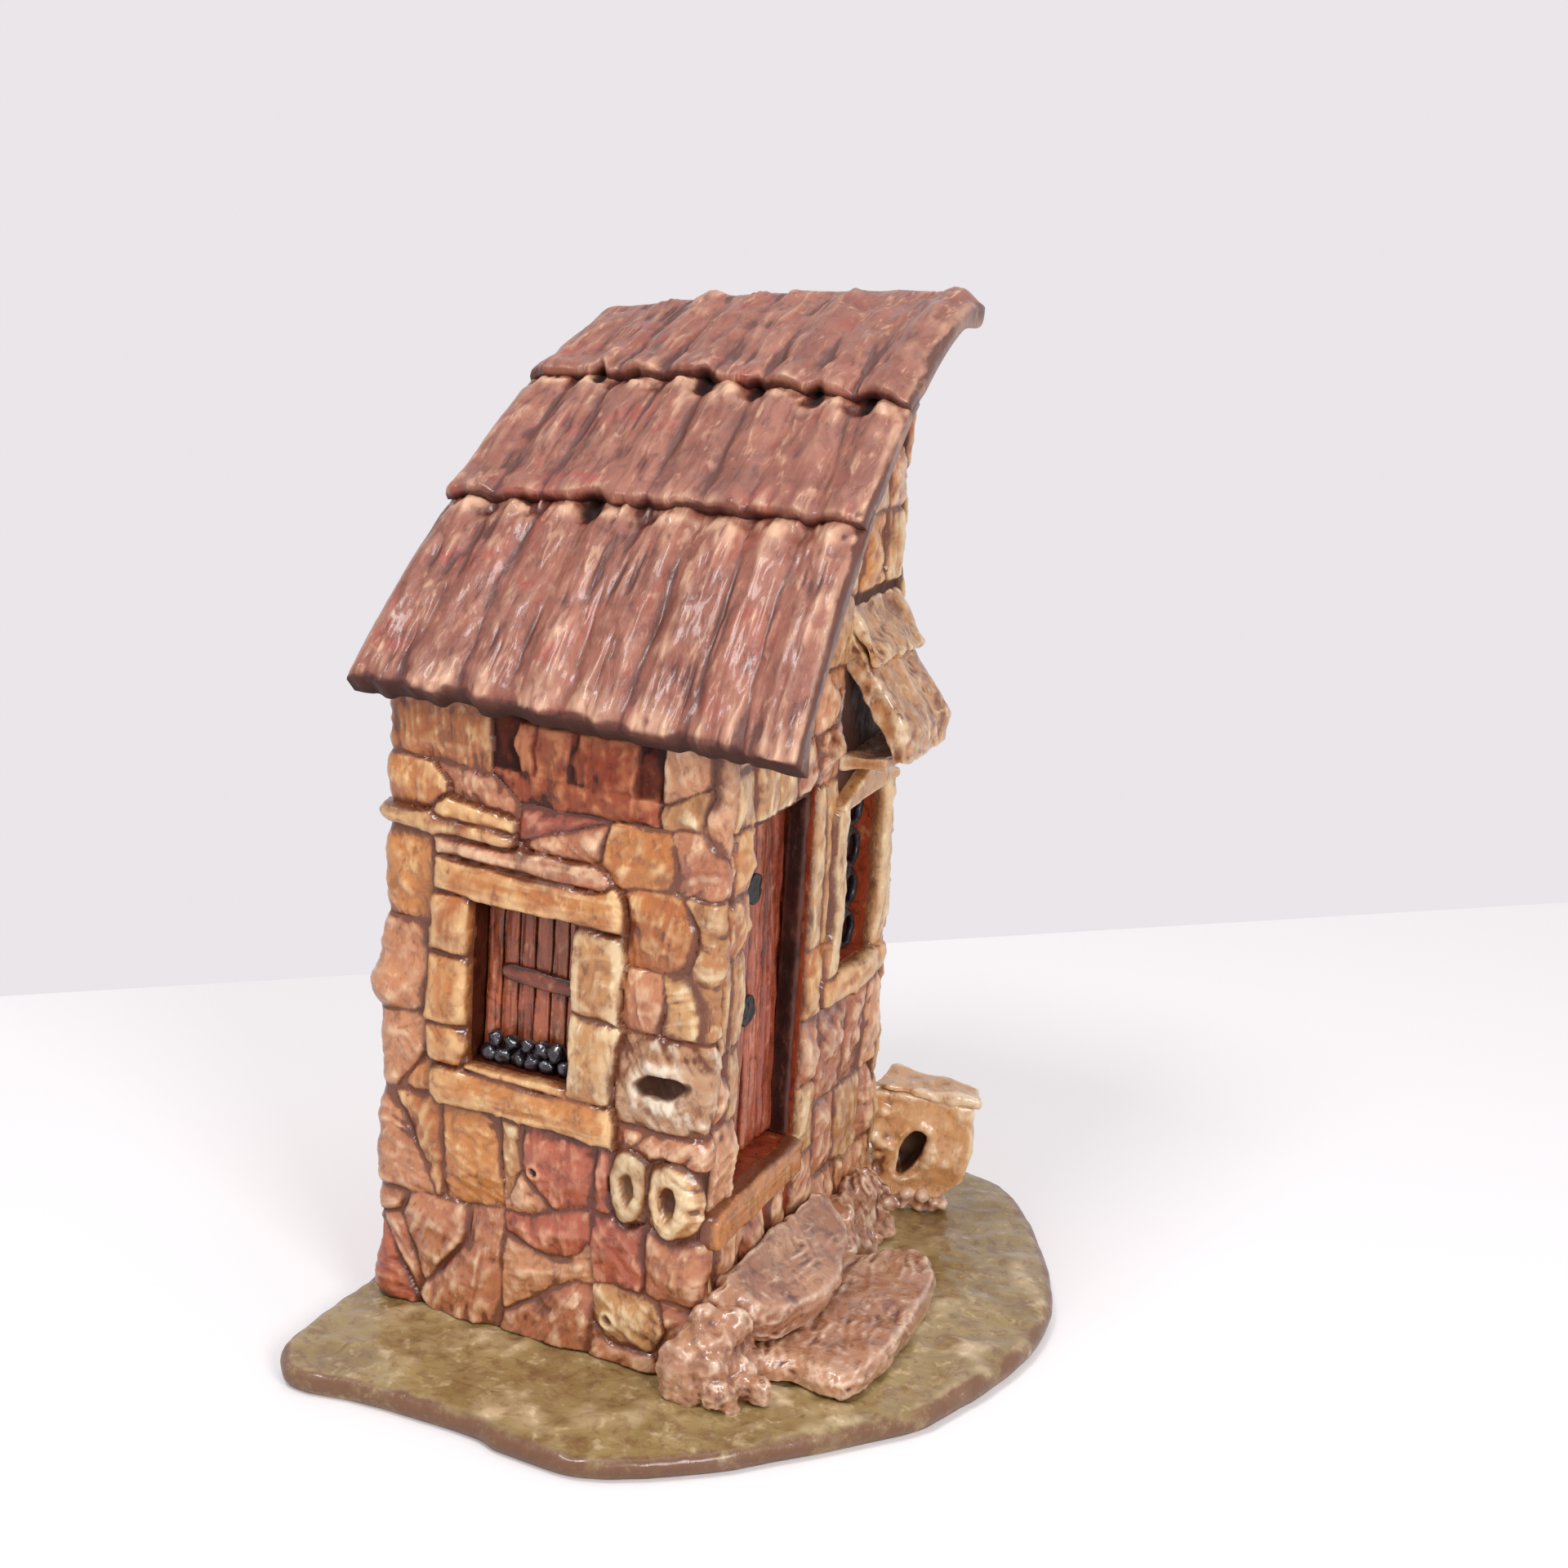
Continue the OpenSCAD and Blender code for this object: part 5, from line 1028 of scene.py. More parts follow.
def roof_course(k):
    """One course of barrel tiles: hand-cut lips, tool marks along the slope and hollows under the barrels."""
    lowest, highest = k == 0, k == 2
    u = np.linspace(0, 1, BARRELS * BARREL_POINTS + 1)
    start, end = (between(*COURSE_STARTS[k + i], u) for i in (0, 1))
    rows = int(RUN * float(np.mean(end - start)) * 1.35 / ROW_PITCH)
    ease = np.linspace(0, 1, rows)
    ease = ease - 0.24 * np.sin(2 * np.pi * ease) / np.pi
    flat = np.column_stack([u * ROOF_W, np.zeros_like(u), np.full_like(u, k * 31.0)])
    lip_cut = 0.4 * noise(flat, 4.0, 70 + k) + 0.3 * noise(flat, 1.6, 74 + k) + 0.9 * caves(k, u)
    start = start + lip_cut / RUN
    hidden = 0.0 if highest else UNDERLAP
    end = end + hidden / RUN
    shaped = (rows, len(u))
    uu = np.broadcast_to(u, shaped)
    tt = start + (end - start) * ease[:, None]
    # Distances from the lip, from the next course and from the nearer verge
    along, ahead = (tt - start) * RUN * SLOPE, ((end - tt) * RUN - max(hidden - 0.35, 0)) * SLOPE
    side = np.minimum(uu, 1 - uu) * ROOF_W
    grid = np.stack([uu * ROOF_W, tt * RUN * SLOPE, np.full_like(tt, k * 50.0)], axis=-1).reshape(-1, 3)

    def field(size, seed):
        return noise(grid, size, seed + k).reshape(shaped)

    def patchy(size, seed, *levels):
        return patches(grid, size, seed + k, *levels).reshape(shaped)

    # Barrels, tool marks, and knobs at the upper ends
    place = uu * BARRELS + 0.9 * field((6.0, 14.0, 9.0), 80) * BARRELS / ROOF_W
    index = np.clip(np.floor(place), 0, BARRELS - 1)
    inside = clamp(place - index)

    def of_tile(salt, seed):
        return hashed(index.astype(np.int64), np.int64(k), np.int64(salt), seed)

    barrel = np.sin(np.pi * inside) ** 1.2 * (0.6 + 0.6 * of_tile(1, 9))
    marks = grooves(grid, (1.35, 8.0, 9.0), 84 + k, 0.8, (0.75, 6.0, 9.0)).reshape(shaped)
    marks = patchy((5.0, 6.0, 9.0), 83, 0.55, 0.7, 0.15) * marks
    lumps = rough(grid, (2.4, 4.5, 9.0), 86 + k).reshape(shaped)
    smooth_end = smoothstep(0.3, 3.5, ahead) if highest else 1.0
    relief = (0.3 * lumps - 0.5 * marks + 0.35 * field((2.4, 14.0, 9.0), 88)) * smooth_end
    near_end = 0 * ahead if highest else smoothstep(4.2, 1.6, ahead)
    far_caves = caves(k + 1, uu) * near_end
    knob = bell((inside - 0.5) / 0.24, (ahead - 2.1) / 1.0) * (0.45 + 0.55 * of_tile(2, 19))
    knob = 0.0 * knob if highest else knob + 0.3 * near_end * field(1.4, 90)

    # Heights of the upper and the lower surface over the slope
    lift = (0.0 if lowest else LIP_LIFT) * (1 - smoothstep(0.5, 6.5, along))
    body = TILE_T + 0.75 * BARREL_H * barrel * smooth_end + relief
    body = body + 1.2 * knob - 0.7 * near_end - 1.2 * far_caves
    if highest:
        tip = smoothstep(0.86, 0.95, uu) * (0.2 - 1.6 * smoothstep(0.95, 1.0, uu))
        body = body + (0.6 + tip) * smoothstep(9.0, 1.0, ahead)
    lip = rounded(along, 1.8 if lowest else 0.7)
    fall = rounded(ahead + SLOPE * hidden, 1.4 if highest else 0.6)
    edge = (0.62 + 0.38 * lip) * (0.3 + 0.7 * fall) * (0.55 + 0.45 * rounded(side, 1.3))
    over = lift + 0.7 + (body - 0.7) * edge
    open_end = 1 - smoothstep(0.0, 3.0, along)
    under = lift * 0.8 + open_end * (0.7 * field(2.6, 93) - 0.5 if lowest else 0.35 + 0.8 * barrel)
    if lowest:
        under = under - (1.5 + 0.7 * field(4.0, 99)) * smoothstep(5.0, 0.5, along)
    if highest:
        under = under - 1.5 * smoothstep(0.82, 0.97, uu) * smoothstep(13.0, 3.0, ahead) * rounded(ahead, 2.5)
    under = np.minimum(under, over - 0.5)

    # Pooled glaze in the valleys and tool marks, with painted shade along each joint under the next course's
    # lip; crests, knobs, the eave's lip and the ridge painted pale, partly as rubbed glaze and partly as
    # painted highlight; painted shade in the hollows under the lips
    raised = over - evened(over, 40)
    film = patchy((7.0, 9.0, 9.0), 95, 0.5, 0.8, 0.15)
    valley = np.exp(-np.minimum(inside, 1 - inside) / 0.08) * patchy((4.0, 8.0, 9.0), 96, 0.5, 0.8)
    pool = 0.8 * valley + film * (clamp(-raised / 0.25) + 0.8 * clamp(marks - 0.45))
    pool = clamp(pool + (1 - rounded(ahead, 0.6)) * (0.2 if highest else 0.9) + 0.5 * far_caves)
    glint = patchy((2.5, 7.0, 9.0), 97, 0.5, 0.9)
    low_edge = 1.3 * smoothstep(5.0, 1.4, along) * barrel if lowest else 0.2 * smoothstep(1.4, 0.3, along)
    pale = 0.75 * clamp(raised / 0.22 - 0.2) * glint + 1.8 * knob + 0.5 * near_end * glint * barrel
    pale = clamp(pale + 0.6 * low_edge * glint + 0.6 * smoothstep(1.6, 0.2, side))
    if highest:
        pale = np.maximum(pale, 0.75 * smoothstep(1.8, 0.4, ahead) * glint)
    dark = 0.95 * smoothstep(0.35, 0.8, far_caves * smoothstep(2.6, 1.6, ahead))
    if lowest:
        # The eave's lower edge painted dark, as pooled glaze and as painted shade under the lip
        brim = smoothstep(0.75, 0.2, along + 0.4 * field(2.2, 92))
        pale, dark = pale * (1 - brim), np.maximum(dark, 0.55 * brim)
    tone = 0.45 + 0.15 * of_tile(5, 3) + 0.3 * field((5.0, 12.0, 9.0), 98)
    verge = smoothstep(0.99, 1, uu)

    base, normal = roof_point(uu, tt)
    top, low = ((base + normal * height[..., None]).reshape(-1, 3) for height in (over, under))
    numbers = np.arange(len(top)).reshape(shaped)
    rim = np.concatenate([numbers[0, :], numbers[1:, -1], numbers[-1, -2::-1], numbers[-2:0:-1, 0]])
    after, shift = np.roll(rim, -1), len(top)
    quads = grid_quads(*shaped)
    walls = np.column_stack([rim + shift, after + shift, after, rim])
    # The underside: dark glaze wash, paler at the verge, and painted shade under the open ends of the lips
    clay = Clay()
    clay.add(np.vstack([top, low]), np.concatenate([quads, quads[:, ::-1] + shift, walls]),
             tone=np.append(tone, tone), pool=np.append(pool, 0.95 - 0.6 * verge),
             pale=np.append(pale, 0.6 * verge), dark=np.append(dark, (0.75 if lowest else 0.35) * open_end))
    clay.build(COURSES[k], ROOF)


# Yard

# Side of the slab: how far in from the outline, and the height's share, from the underside up
SLAB_SIDE = [(3.2, 0.0), (1.7, 0.0), (0.75, 0.1), (0.2, 0.28), (0.0, 0.48), (0.1, 0.66), (0.45, 0.82),
             (1.0, 0.92), (1.8, 0.965), (2.8, 0.975)]
# Points around the slab, and rings of points on it
SLAB_POINTS, SLAB_RINGS = 420, 60
# Pale patches painted on the yard, middle and radius: a whitish patch by the wall heap, and a painted
# highlight by the corner heap
PALE_PATCHES = [((31.5, 18.5), 3.2), ((35.5, -27.0), 3.0)]


def slab_outline(middle):
    """The slab's outline: the farthest of the solid's points in each direction from the middle."""
    points = node_mesh("ground_slab")[0][:, :2]
    offset = points - middle
    reach = np.linalg.norm(offset, axis=1)
    heading = np.round(np.arctan2(offset[:, 1], offset[:, 0]), 2)
    outer = [points[heading == mark][np.argmax(reach[heading == mark])] for mark in np.unique(heading)]
    return wandering(softened(resampled(np.array(outer), 0.6, SLAB_POINTS), 6), 31, 0.25)


def ground_slab():
    """The yard: an uneven slab with a soft rim."""
    middle = np.array([HALF_W * 0.6, 0.0])
    loop = slab_outline(middle)
    size = len(loop)
    radius = np.linalg.norm(loop - middle, axis=1)
    toward = (middle - loop) / radius[:, None]
    last, top = SLAB_SIDE[-1]
    inset = [np.full(size, distance) for distance, _ in SLAB_SIDE]
    inset += [last + (radius - last) * share for share in np.linspace(0, 1, SLAB_RINGS)[1:-1]]
    layers = len(inset)
    flat = np.vstack([loop + toward * distance[:, None] for distance in inset] + [middle[None, :]])
    shares = [share for _, share in SLAB_SIDE] + [top] * (layers - len(SLAB_SIDE))
    z = np.append(np.repeat(shares, size), top) * SLAB_T
    inset = np.append(np.concatenate(inset), radius.mean())
    spread = lifted(flat, z)
    lumps = rough(spread, 5.5, 33)
    on_top = smoothstep(0.6, 0.9, z / SLAB_T)
    z = z + on_top * (0.4 * lumps - 0.2 + 0.2 * noise(spread, 2.2, 35) + 0.08 * noise(spread, 1.0, 36))
    rim = smoothstep(2.2, 0.3, inset) * (z > 0.15)
    film = patches(spread, 6.0, 38, 0.5, 0.9)
    rim_film = np.clip(0.75 + 0.35 * noise(spread, 4.5, 43) + 0.3 * noise(spread, 1.7, 44), 0.2, 1)
    pool = clamp(rim * rim_film + 0.5 * film * clamp(-lumps - 0.1))
    pale = clamp(1.3 * lumps - 0.1) * patches(spread, 3.0, 39, 0.55, 1)
    # Painted highlight along the rim
    pale = np.maximum(pale, 0.8 * rim * smoothstep(0.2, 0.55, noise(spread, 4.0, 42)))
    for spot, reach in PALE_PATCHES:
        share = np.linalg.norm(flat - spot, axis=1) / reach + 0.5 * noise(spread, 2.0, 41)
        pale = np.maximum(pale, smoothstep(1.1, 0.5, share))
    tone = 0.5 + 0.3 * noise(spread, 8, 37)
    first = np.arange(size)
    foot = np.column_stack([(first + 1) % size, first, np.full(size, len(flat))])
    clay = Clay()
    clay.add(np.vstack([lifted(flat, z), [[*middle, 0.0]]]), ring_quads(size, layers),
             np.vstack([ring_fan(size, layers), foot]),
             tone=np.append(tone, 0.5), pool=np.append(pool, 0.6), pale=np.append(pale, 0))
    clay.build("ground_slab", GRASS)


# Points around a bead, and from its top to its foot
BEAD_TURNS, BEAD_STEPS = 20, 12


def beads(node, material, seed):
    """Glossy drops: a lumpy ball for each ball of the node."""
    clay = Clay()
    polar, around = np.linspace(0, math.pi, BEAD_STEPS), np.arange(BEAD_TURNS) * 2 * math.pi / BEAD_TURNS
    ball = np.array([
        [math.sin(p) * math.cos(a), math.sin(p) * math.sin(a), math.cos(p)] for p in polar for a in around
    ])
    quads = ring_quads(BEAD_TURNS, BEAD_STEPS)[:, [0, 3, 2, 1]]
    for k, (own, _) in enumerate(islands(*node_mesh(node))):
        low, high = own.min(axis=0), own.max(axis=0)
        centre, radius = (low + high) / 2, (high - low).max() / 2
        swell = 1 + 0.3 * noise(ball * 1.4 + k * 3.1, 1.0, seed + k) + 0.4 * (one_value(seed + k) - 0.4)
        centre = centre + 0.5 * np.array([one_value(seed + k * 5 + j) - 0.5 for j in range(3)])
        clay.add(centre + ball * (radius * swell)[:, None], quads, tone=one_value(seed + k * 3))
    clay.build(node, material)


# House walls

CORNER_R = 1.2
# The left corner's stone that stands out, and its height
CORNER_BULGE, BULGE_Z = 1.8, 49.5
# Half the width of the front and back skins, which turn around the corners, and where side skins take over
SKIN_REACH = HALF_W - CORNER_R + CORNER_R * math.pi / 2 + 0.8
SIDE_START = CORNER_R + 0.7
# Where the skins' grids start and end
SKIN_FOOT, SKIN_TOP = SLAB_T - 0.1, EAVE_Z + RISE_RIGHT
# How far the skins run on into the slab and into the roof over the front, the sides and the back
SLAB_LAP, FRONT_LAP, SIDE_LAP, BACK_LAP = 0.3, 0.6, 0.4, 0.2
# How far out from the side walls the roof over them is measured
SIDE_OUT = 0.6


def around_corners(wall, spots, out):
    """Places a skin: flat on its wall, then bent around both corners and clear of the wall's sharp edge."""
    x, up = spots.T
    flat_half = HALF_W - CORNER_R
    over = np.maximum(np.abs(x) - flat_half, 0)
    angle = np.minimum(over / CORNER_R, math.pi / 2)
    straight = np.maximum(over - CORNER_R * math.pi / 2, 0)
    clear = CORNER_R / np.maximum(np.cos(angle), np.sin(angle)) - CORNER_R + 0.12
    out = np.where(out > 0, np.maximum(out, clear), out)
    across = np.minimum(np.abs(x), flat_half) + (CORNER_R + out) * np.sin(angle)
    depth = out * np.cos(angle) - CORNER_R * (1 - np.cos(angle)) - straight
    return wall.world(np.column_stack([np.sign(x) * across, up, depth]))


def around_front(spots, out):
    """The front skin, with the stone that stands out at its left corner."""
    bulge = CORNER_BULGE * bell((spots[:, 0] + HALF_W) / 2.6, (spots[:, 1] - BULGE_Z) / 3.0)
    return around_corners(FRONT, spots, out + bulge)


def around_back(spots, out):
    return around_corners(BACK, spots, out)


# Details of stones: how much height, paleness and darkness they add; the darkness is mostly painted shade in
# their hollows

def split_detail(spots, loop):
    """The lens-shaped split in the pale stone, painted dark as shade, above a glossy lip that stands out; the
    lip carries a painted highlight and the brow above is pale.
    """
    x, y = (spots - (loop.min(axis=0) + loop.max(axis=0)) / 2).T
    rise = y - 0.1 - 0.12 * x
    hollow = 1 - ((x + 0.1) / 4.1) ** 2 - (rise / 1.7) ** 2 + 0.25 * noise(lifted(spots), 1.5, 63)
    lip = bell((rise + 2.7) / 0.9, (x - 0.4) / 1.8)
    brow = bell((rise - 2.6) / 0.9, (x + 0.2) / 2.6)
    added = 0.6 * lip + 0.5 * brow - 1.0 * smoothstep(-0.2, 0.5, hollow)
    return added, clamp(0.9 * lip + 0.9 * brow), 0.93 * smoothstep(-0.1, 0.3, hollow)


# Between the fainter ring stone on the left and the clear one on the right
RING_PARTING = FRONT.local(node_mesh("ring_stones")[0])[:, 0].mean()


def ring_detail(spots, loop):
    """A raised oval lip around a hollow painted dark as shade; the fainter ring is also painted darker all
    over.
    """
    low, high = loop.min(axis=0), loop.max(axis=0)
    middle, half = (low + high) / 2, (high - low) / 2
    x, y = ((spots - middle) / half).T
    reach = np.hypot(x / (1 - 0.3 * smoothstep(0.2, -1, y)), y) + 0.1 * noise(lifted(spots), 1.8, 61)
    lip = bell((reach - 0.75) / 0.25)
    faint = 0.5 if middle[0] < RING_PARTING else 1.0
    added = faint * 0.55 * lip - 1.0 * smoothstep(0.52, 0.3, reach) - 0.5 * smoothstep(1.0, 1.3, reach)
    return added, 0.25 * faint * lip, 0.5 * smoothstep(0.5, 0.25, reach) + 0.4 * (1 - faint)


# Small pits in the window front's stones: place along the wall and up it, and radius
PITS = [(0.0, 28.7, 0.75), (12.0, 9.8, 0.9)]


def pit_detail(spots, loop):
    """Pits poked into the stones, painted dark inside as shade."""
    reach = np.min([np.linalg.norm(spots - [x, z], axis=1) / radius for x, z, radius in PITS], axis=0)
    lip = bell((reach - 1.3) / 0.35)
    return 0.2 * lip - 0.7 * smoothstep(1.1, 0.4, reach), 0.5 * lip, 0.6 * smoothstep(0.9, 0.3, reach)


# Bricks under the eave: start and end along the front, and how pale each is
EAVE_BRICKS = [(-5.1, -2.2, 1.0), (-1.9, 3.3, 0.4), (3.9, 12.4, 0.1)]
BRICK_FOOT = 83.6


def brick_detail(spots, loop):
    """Upright bricks with hollows between them painted dark as shade, on a band of clay."""
    x, y = spots.T
    x = x + 0.5 * noise(lifted(spots), 2.5, 77)

    def within(start, end):
        return smoothstep(-0.15, 0.45, np.minimum(x - start, end - x))

    body = np.max([within(start, end) for start, end, _ in EAVE_BRICKS], axis=0)
    pale = np.max([within(start, end) * light for start, end, light in EAVE_BRICKS], axis=0)
    above = smoothstep(BRICK_FOOT - 0.3, BRICK_FOOT + 0.3, y)
    gap = above * (1 - body) * (1 - 0.6 * within(EAVE_BRICKS[0][0], EAVE_BRICKS[-1][1]))
    added = -0.9 * gap - 0.12 * bell((y - BRICK_FOOT) / 0.3)
    return added, pale * above + 0.25 * (1 - above), clamp(0.6 * gap)


def above_slab(z):
    """How far heights lie above the foot of a skin, just under the slab's top."""
    return z - SLAB_T + SLAB_LAP


def front_face():
    """The window front: stones, boards and bricks in one skin."""
    board = {"angle": 0, "grain": 0.22, "lump": 0.18, "facet": 0.06, "proud": 0.5}
    post = {"angle": 90, "grain": 0.18, "lump": 0.18, "facet": 0.1, "proud": 0.3}
    entries = [
        ("front_ochre_stones", OCHRE, {}),
        ("front_cream_stones", CREAM, {"detail": pit_detail}),
        ("front_pink_stones", PINK, {}),
        ("front_red_stones", RED, {"detail": pit_detail}),
        ("cornice_ledges", OCHRE, board),
        ("window_lintel", OCHRE, board),
        ("lintel_board", PINK, board),
        ("window_left_jamb", OCHRE, post),
        ("window_right_jamb", CREAM, post),
        ("window_sill", OCHRE, board),
        ("sill_ledge", OCHRE, board),
        ("split_stone", PALE, {"detail": split_detail}),
        ("ring_stones", CREAM, {"detail": ring_detail, "hull": True, "facet": 0}),
        ("eave_bricks", BRICK, {"detail": brick_detail, "angle": 90}),
    ]
    opening = FRONT.box("shutter")

    def keep(spots):
        x, z = np.clip(spots[:, 0], -HALF_W, HALF_W), spots[:, 1]
        under_roof = roof_height(x, np.full(len(x), FRONT_Y)) + FRONT_LAP - z
        return np.min([outside_box(spots, opening), above_slab(z), under_roof], axis=0)

    low, high = (-SKIN_REACH, SKIN_FOOT), (SKIN_REACH, EAVE_Z + 4)
    relief_face(FRONT, entries, low, high, keep, pitch=0.25, seed=100, place=around_front)


def side_limits(x, y, z):
    """How far points of a side wall lie inside the front corner, the back corner, the slab and the roof."""
    up = BACK.axes[1]
    back_edge = BACK.origin[1] + up[1] / up[2] * z - SIDE_START
    return [y - FRONT_Y - SIDE_START, back_edge - y, above_slab(z), roof_height(x, y) + SIDE_LAP - z]


def door_face():
    """The door wall: stones, posts and the gable window's boards in one skin."""
    post = {"angle": 90, "grain": 0.24, "lump": 0.2, "facet": 0.1}
    entries = [
        ("door_wall_ochre_stones", OCHRE, {"fill": EAVE_Z}),
        ("door_wall_cream_stones", CREAM, {**post, "fill": EAVE_Z}),
        ("door_wall_pink_stones", PINK, {"lump": 0.4, "facet": 0.4, "fill": EAVE_Z}),
        ("gable_boards", CREAM, post),
        ("gable_sill", OCHRE, {"angle": 0, "grain": 0.2}),
    ]
    openings = [RIGHT.box("door_leaf"), RIGHT.box("gable_pane")]

    def keep(spots):
        holes = [outside_box(spots, box) for box in openings]
        return np.min(side_limits(HALF_W + SIDE_OUT, *spots.T) + holes, axis=0)

    low, high = (FRONT_Y + SIDE_START - 0.1, SKIN_FOOT), (RIDGE_Y + 4, SKIN_TOP)
    relief_face(RIGHT, entries, low, high, keep, pitch=0.33, seed=300)


def plain_faces():
    """The left wall and the back wall, with the same stones carried on up to the roof."""
    def keep_left(spots):
        return np.min(side_limits(-HALF_W - SIDE_OUT, -spots[:, 0], spots[:, 1]), axis=0)

    def keep_back(spots):
        x, y, z = BACK.world(lifted(spots)).T
        return np.minimum(above_slab(z), roof_height(np.clip(x, -HALF_W, HALF_W), y) + BACK_LAP - z)

    left, back = ([(node, MIXED, {"fill": EAVE_Z})] for node in ("left_wall_stones", "back_wall_stones"))
    low, high = (-RIDGE_Y - 4, SKIN_FOOT), (-FRONT_Y, SKIN_TOP)
    relief_face(LEFT, left, low, high, keep_left, pitch=0.55, seed=500)
    low, high = (-SKIN_REACH, SKIN_FOOT), (SKIN_REACH, SKIN_TOP)
    relief_face(BACK, back, low, high, keep_back, pitch=0.45, seed=560, place=around_back)


def dress_house():
    """Every piece of the house and the yard."""
    for side, material in (("front", CLAY), ("door", BRICK), ("left", CLAY), ("back", CLAY)):
        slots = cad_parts[side + "_wall"].data.materials
        slots.clear()
        slots.append(material)
    for k in range(len(COURSES)):
        roof_course(k)
    ground_slab()
    front_face()
    planks("shutter", FRONT, DARK, count=6, seed=281, gap=0.02, grain=0.32, edge=0.22, crown=0.05, lump=0.12,
           soak=0.2)
    shutter_face = FRONT.moved(FRONT.box("shutter_batten")[0][2])
    boards("shutter_batten", shutter_face, DARK, seed=291, grain=0.15, edge=0.4, foot=0.0)
    beads("window_flowers", BEAD, seed=295)
    door_face()
    boards("threshold", RIGHT, OCHRE, seed=391, grain=0.15, soak=0.4)
    modelled("gable_lintel", CREAM, seed=406, voxel=0.3, rounds=5, lump=0.2)
    modelled("door_frame", SHADE, seed=411, rounds=2, lump=0.15)
    planks("door_leaf", RIGHT, RED, count=4, seed=421, grain=0.3, edge=0.5, crown=0.15, lump=0.15, soak=0.4)
    modelled("door_hinges", BLACK, seed=431, voxel=0.2, rounds=5, lump=0.2, size=1.5)
    modelled("gable_pane", SHADE, seed=436, rounds=2, lump=0.15)
    modelled("gable_lattice", BLACK, seed=441, voxel=0.2, rounds=2, lump=0.12, size=1.2)
    slab = {"rounds": 6, "lump": 0.6, "size": 3.6, "grain": (2.5, 1.6, 2.5), "grain_depth": 0.25}
    modelled("hood_slab", HOOD, seed=451, **slab)
    modelled("hood_upper_slab", HOOD, seed=456, **slab)
    modelled("hood_floor", HOOD, seed=461, lump=0.4)
    step = {"voxel": 0.36, "size": 5.0, "grain": (1.4, 8.0, 1.8), "grain_depth": 0.45}
    modelled("lower_step", ROCK, seed=471, lump=0.32, **step)
    modelled("upper_step", ROCK, seed=476, lump=0.36, heading=-8, chunks=step_fill(), **step)
    rocks = {"voxel": 0.32, "lump": 0.35, "size": 3.4, "grain_depth": 0.6}
    # Each heap of rocks carries a painted highlight
    modelled("corner_rocks", ROCK, seed=481, rounds=10, grain=(1.3, 4.5, 1.6), heading=40,
             chunks=corner_heap(), lighten=painted_glint((33.0, -27.0, 6.0), 3.0), **rocks)
    modelled("wall_rocks", ROCK, seed=486, rounds=9, grain=(1.3, 1.6, 4.5), shape=settled, chunks=wall_heap(),
             lighten=painted_glint((27.5, 19.0, 9.0), 3.5), **rocks)
    modelled("oven_body", OVEN, seed=491, voxel=0.32, rounds=5, lump=0.55, darken=oven_mouth,
             chunks=oven_rim())
    modelled("oven_top", OVEN, seed=496, lump=0.5)
    modelled("oven_feet", ROCK, seed=499, rounds=3, lump=0.3, size=2.5, chunks=oven_heap())
    plain_faces()


# Camera, floor and light

def camera_axes():
    """Unit vectors to the right, up and back of the camera."""
    a, e, r = (math.radians(x) for x in (VIEW_AZIMUTH, VIEW_ELEVATION, VIEW_ROLL))
    back = Vector((math.sin(a) * math.cos(e), -math.cos(a) * math.cos(e), math.sin(e)))
    right = Vector((math.cos(a), math.sin(a), 0))
    up = back.cross(right)
    return right * math.cos(r) + up * math.sin(r), up * math.cos(r) - right * math.sin(r), back


RIGHT_AXIS, UP_AXIS, BACK_AXIS = camera_axes()
EYE = (Vector(VIEW_TARGET) + BACK_AXIS * VIEW_DISTANCE) * MM


def make_camera():
    camera = placed("camera", bpy.data.cameras.new("camera"))
    camera.data.lens = LENS
    camera.data.sensor_width = SENSOR
    camera.data.clip_start, camera.data.clip_end = 10 * MM, 20
    turn = Matrix((RIGHT_AXIS, UP_AXIS, BACK_AXIS)).transposed()
    camera.matrix_world = Matrix.Translation(EYE) @ turn.to_4x4()
    bpy.context.scene.camera = camera


def floor_point(pixel):
    """Point of the floor that a pixel of the frame shows."""
    half = FRAME_SIDE / 2
    focal = LENS / SENSOR * FRAME_SIDE
    ray = RIGHT_AXIS * (pixel[0] - half) + UP_AXIS * (half - pixel[1]) - BACK_AXIS * focal
    return EYE - ray * (EYE.z / ray.z)


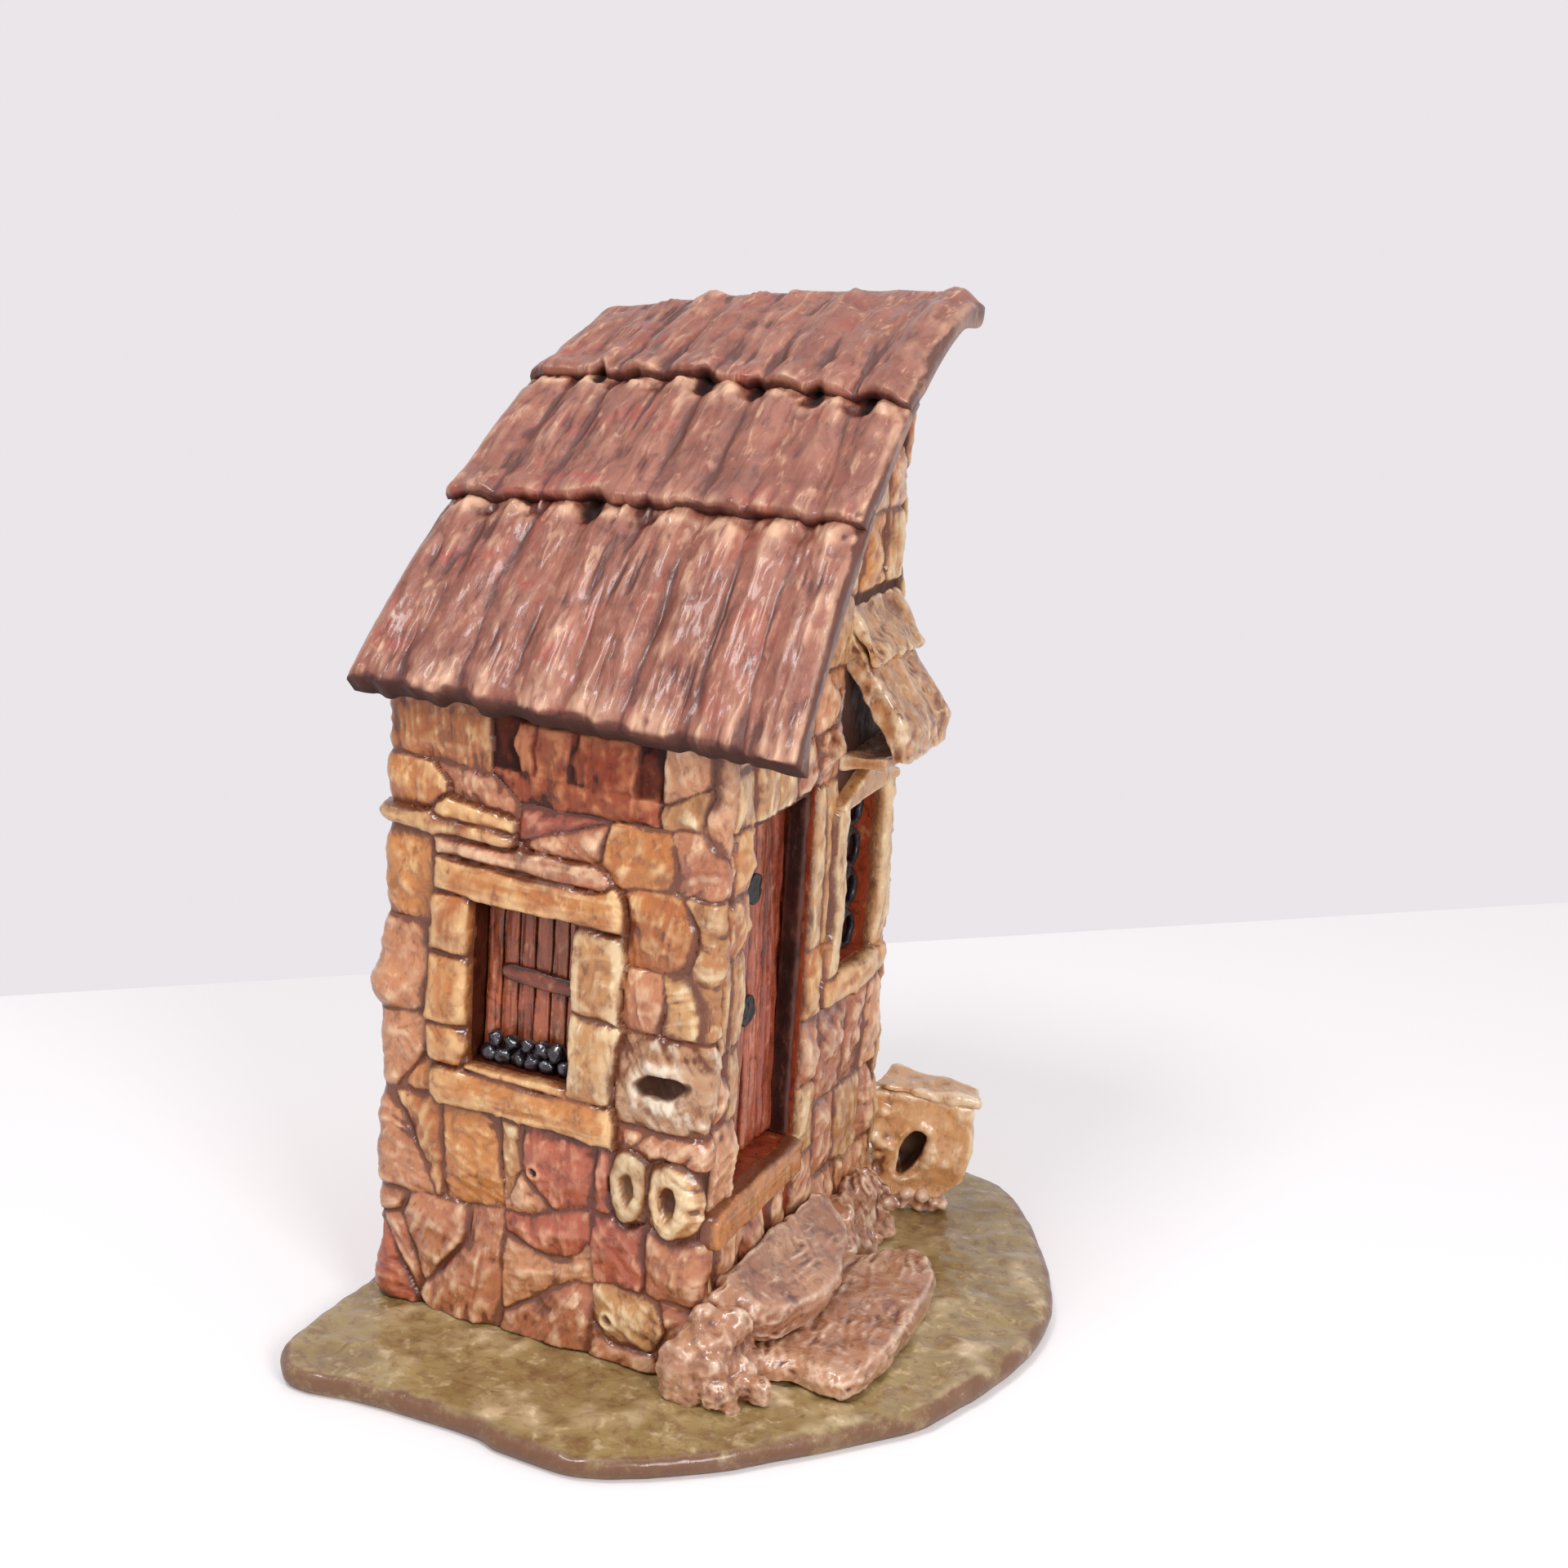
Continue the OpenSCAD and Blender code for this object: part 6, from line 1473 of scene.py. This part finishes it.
def make_floor():
    """A pale table top whose far edge crosses the view behind the cottage."""
    left, right = floor_point(FLOOR_EDGE_LEFT), floor_point(FLOOR_EDGE_RIGHT)
    along = (right - left).normalized()
    near = Vector((along.y, -along.x, 0))
    reach = FLOOR_REACH * MM
    far_left, far_right = left - along * reach, right + along * reach
    corners = [far_left, far_left + near * reach * 2, far_right + near * reach * 2, far_right]
    mesh = bpy.data.meshes.new("floor")
    mesh.from_pydata([c[:] for c in corners], [], [(0, 1, 2, 3)])
    material = bpy.data.materials.new("floor_paint")
    n = Nodes(material)
    n.look(Base_Color=rgb("#E8E4E8"), Roughness=0.6, Specular_IOR_Level=0.2, Emission_Color=(1, 1, 1, 1))
    n.look(Emission_Strength=n.times(n.node("LightPath").outputs["Is Camera Ray"], 0.24))
    mesh.materials.append(material)
    floor = placed("floor", mesh)
    floor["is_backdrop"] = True


def make_world(level=0.45):
    """Even light all round; the camera and mirror-like gloss see a pale wall."""
    world = bpy.data.worlds.new("studio")
    bpy.context.scene.world = world
    n = Nodes(world, "Background")
    n.look(Color=(1, 0.98, 0.96, 1), Strength=level)
    wall = n.node("Background", Color=rgb("#EAE6EA"))
    path = n.node("LightPath").outputs
    seen = path["Is Camera Ray"]
    for name in ("Is Glossy Ray", "Is Transmission Ray"):
        seen = n.math("MAXIMUM", seen, path[name])
    choice = n.node("MixShader")
    for k, source in enumerate((seen, n.shader.outputs[0], wall.outputs[0])):
        n.put(choice.inputs[k], source)
    n.put(n.tree.nodes["World Output"].inputs["Surface"], choice.outputs[0])


def soft_box(name, place, side, power, aim=(5, 0, 70)):
    """A square lamp that faces the house: place and aim in millimetres."""
    lamp = bpy.data.lights.new(name, "AREA")
    lamp.size = side * MM
    lamp.energy = power
    box = placed(name, lamp)
    box.location = Vector(place) * MM
    box.rotation_mode = "QUATERNION"
    box.rotation_quaternion = (Vector(aim) - Vector(place)).to_track_quat("-Z", "Y")


dress_house()
make_camera()
make_floor()
soft_box("key", (-60, -310, 620), side=150, power=1.6)
soft_box("fill", (420, -330, 300), side=200, power=1.6)
soft_box("top", (40, 60, 620), side=300, power=0.4)
make_world()
bpy.context.scene.view_settings.view_transform = "Standard"

boxes = {"cad": cad_box, "visual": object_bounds()}
{key: [list(corner) for corner in box] for key, box in boxes.items()}
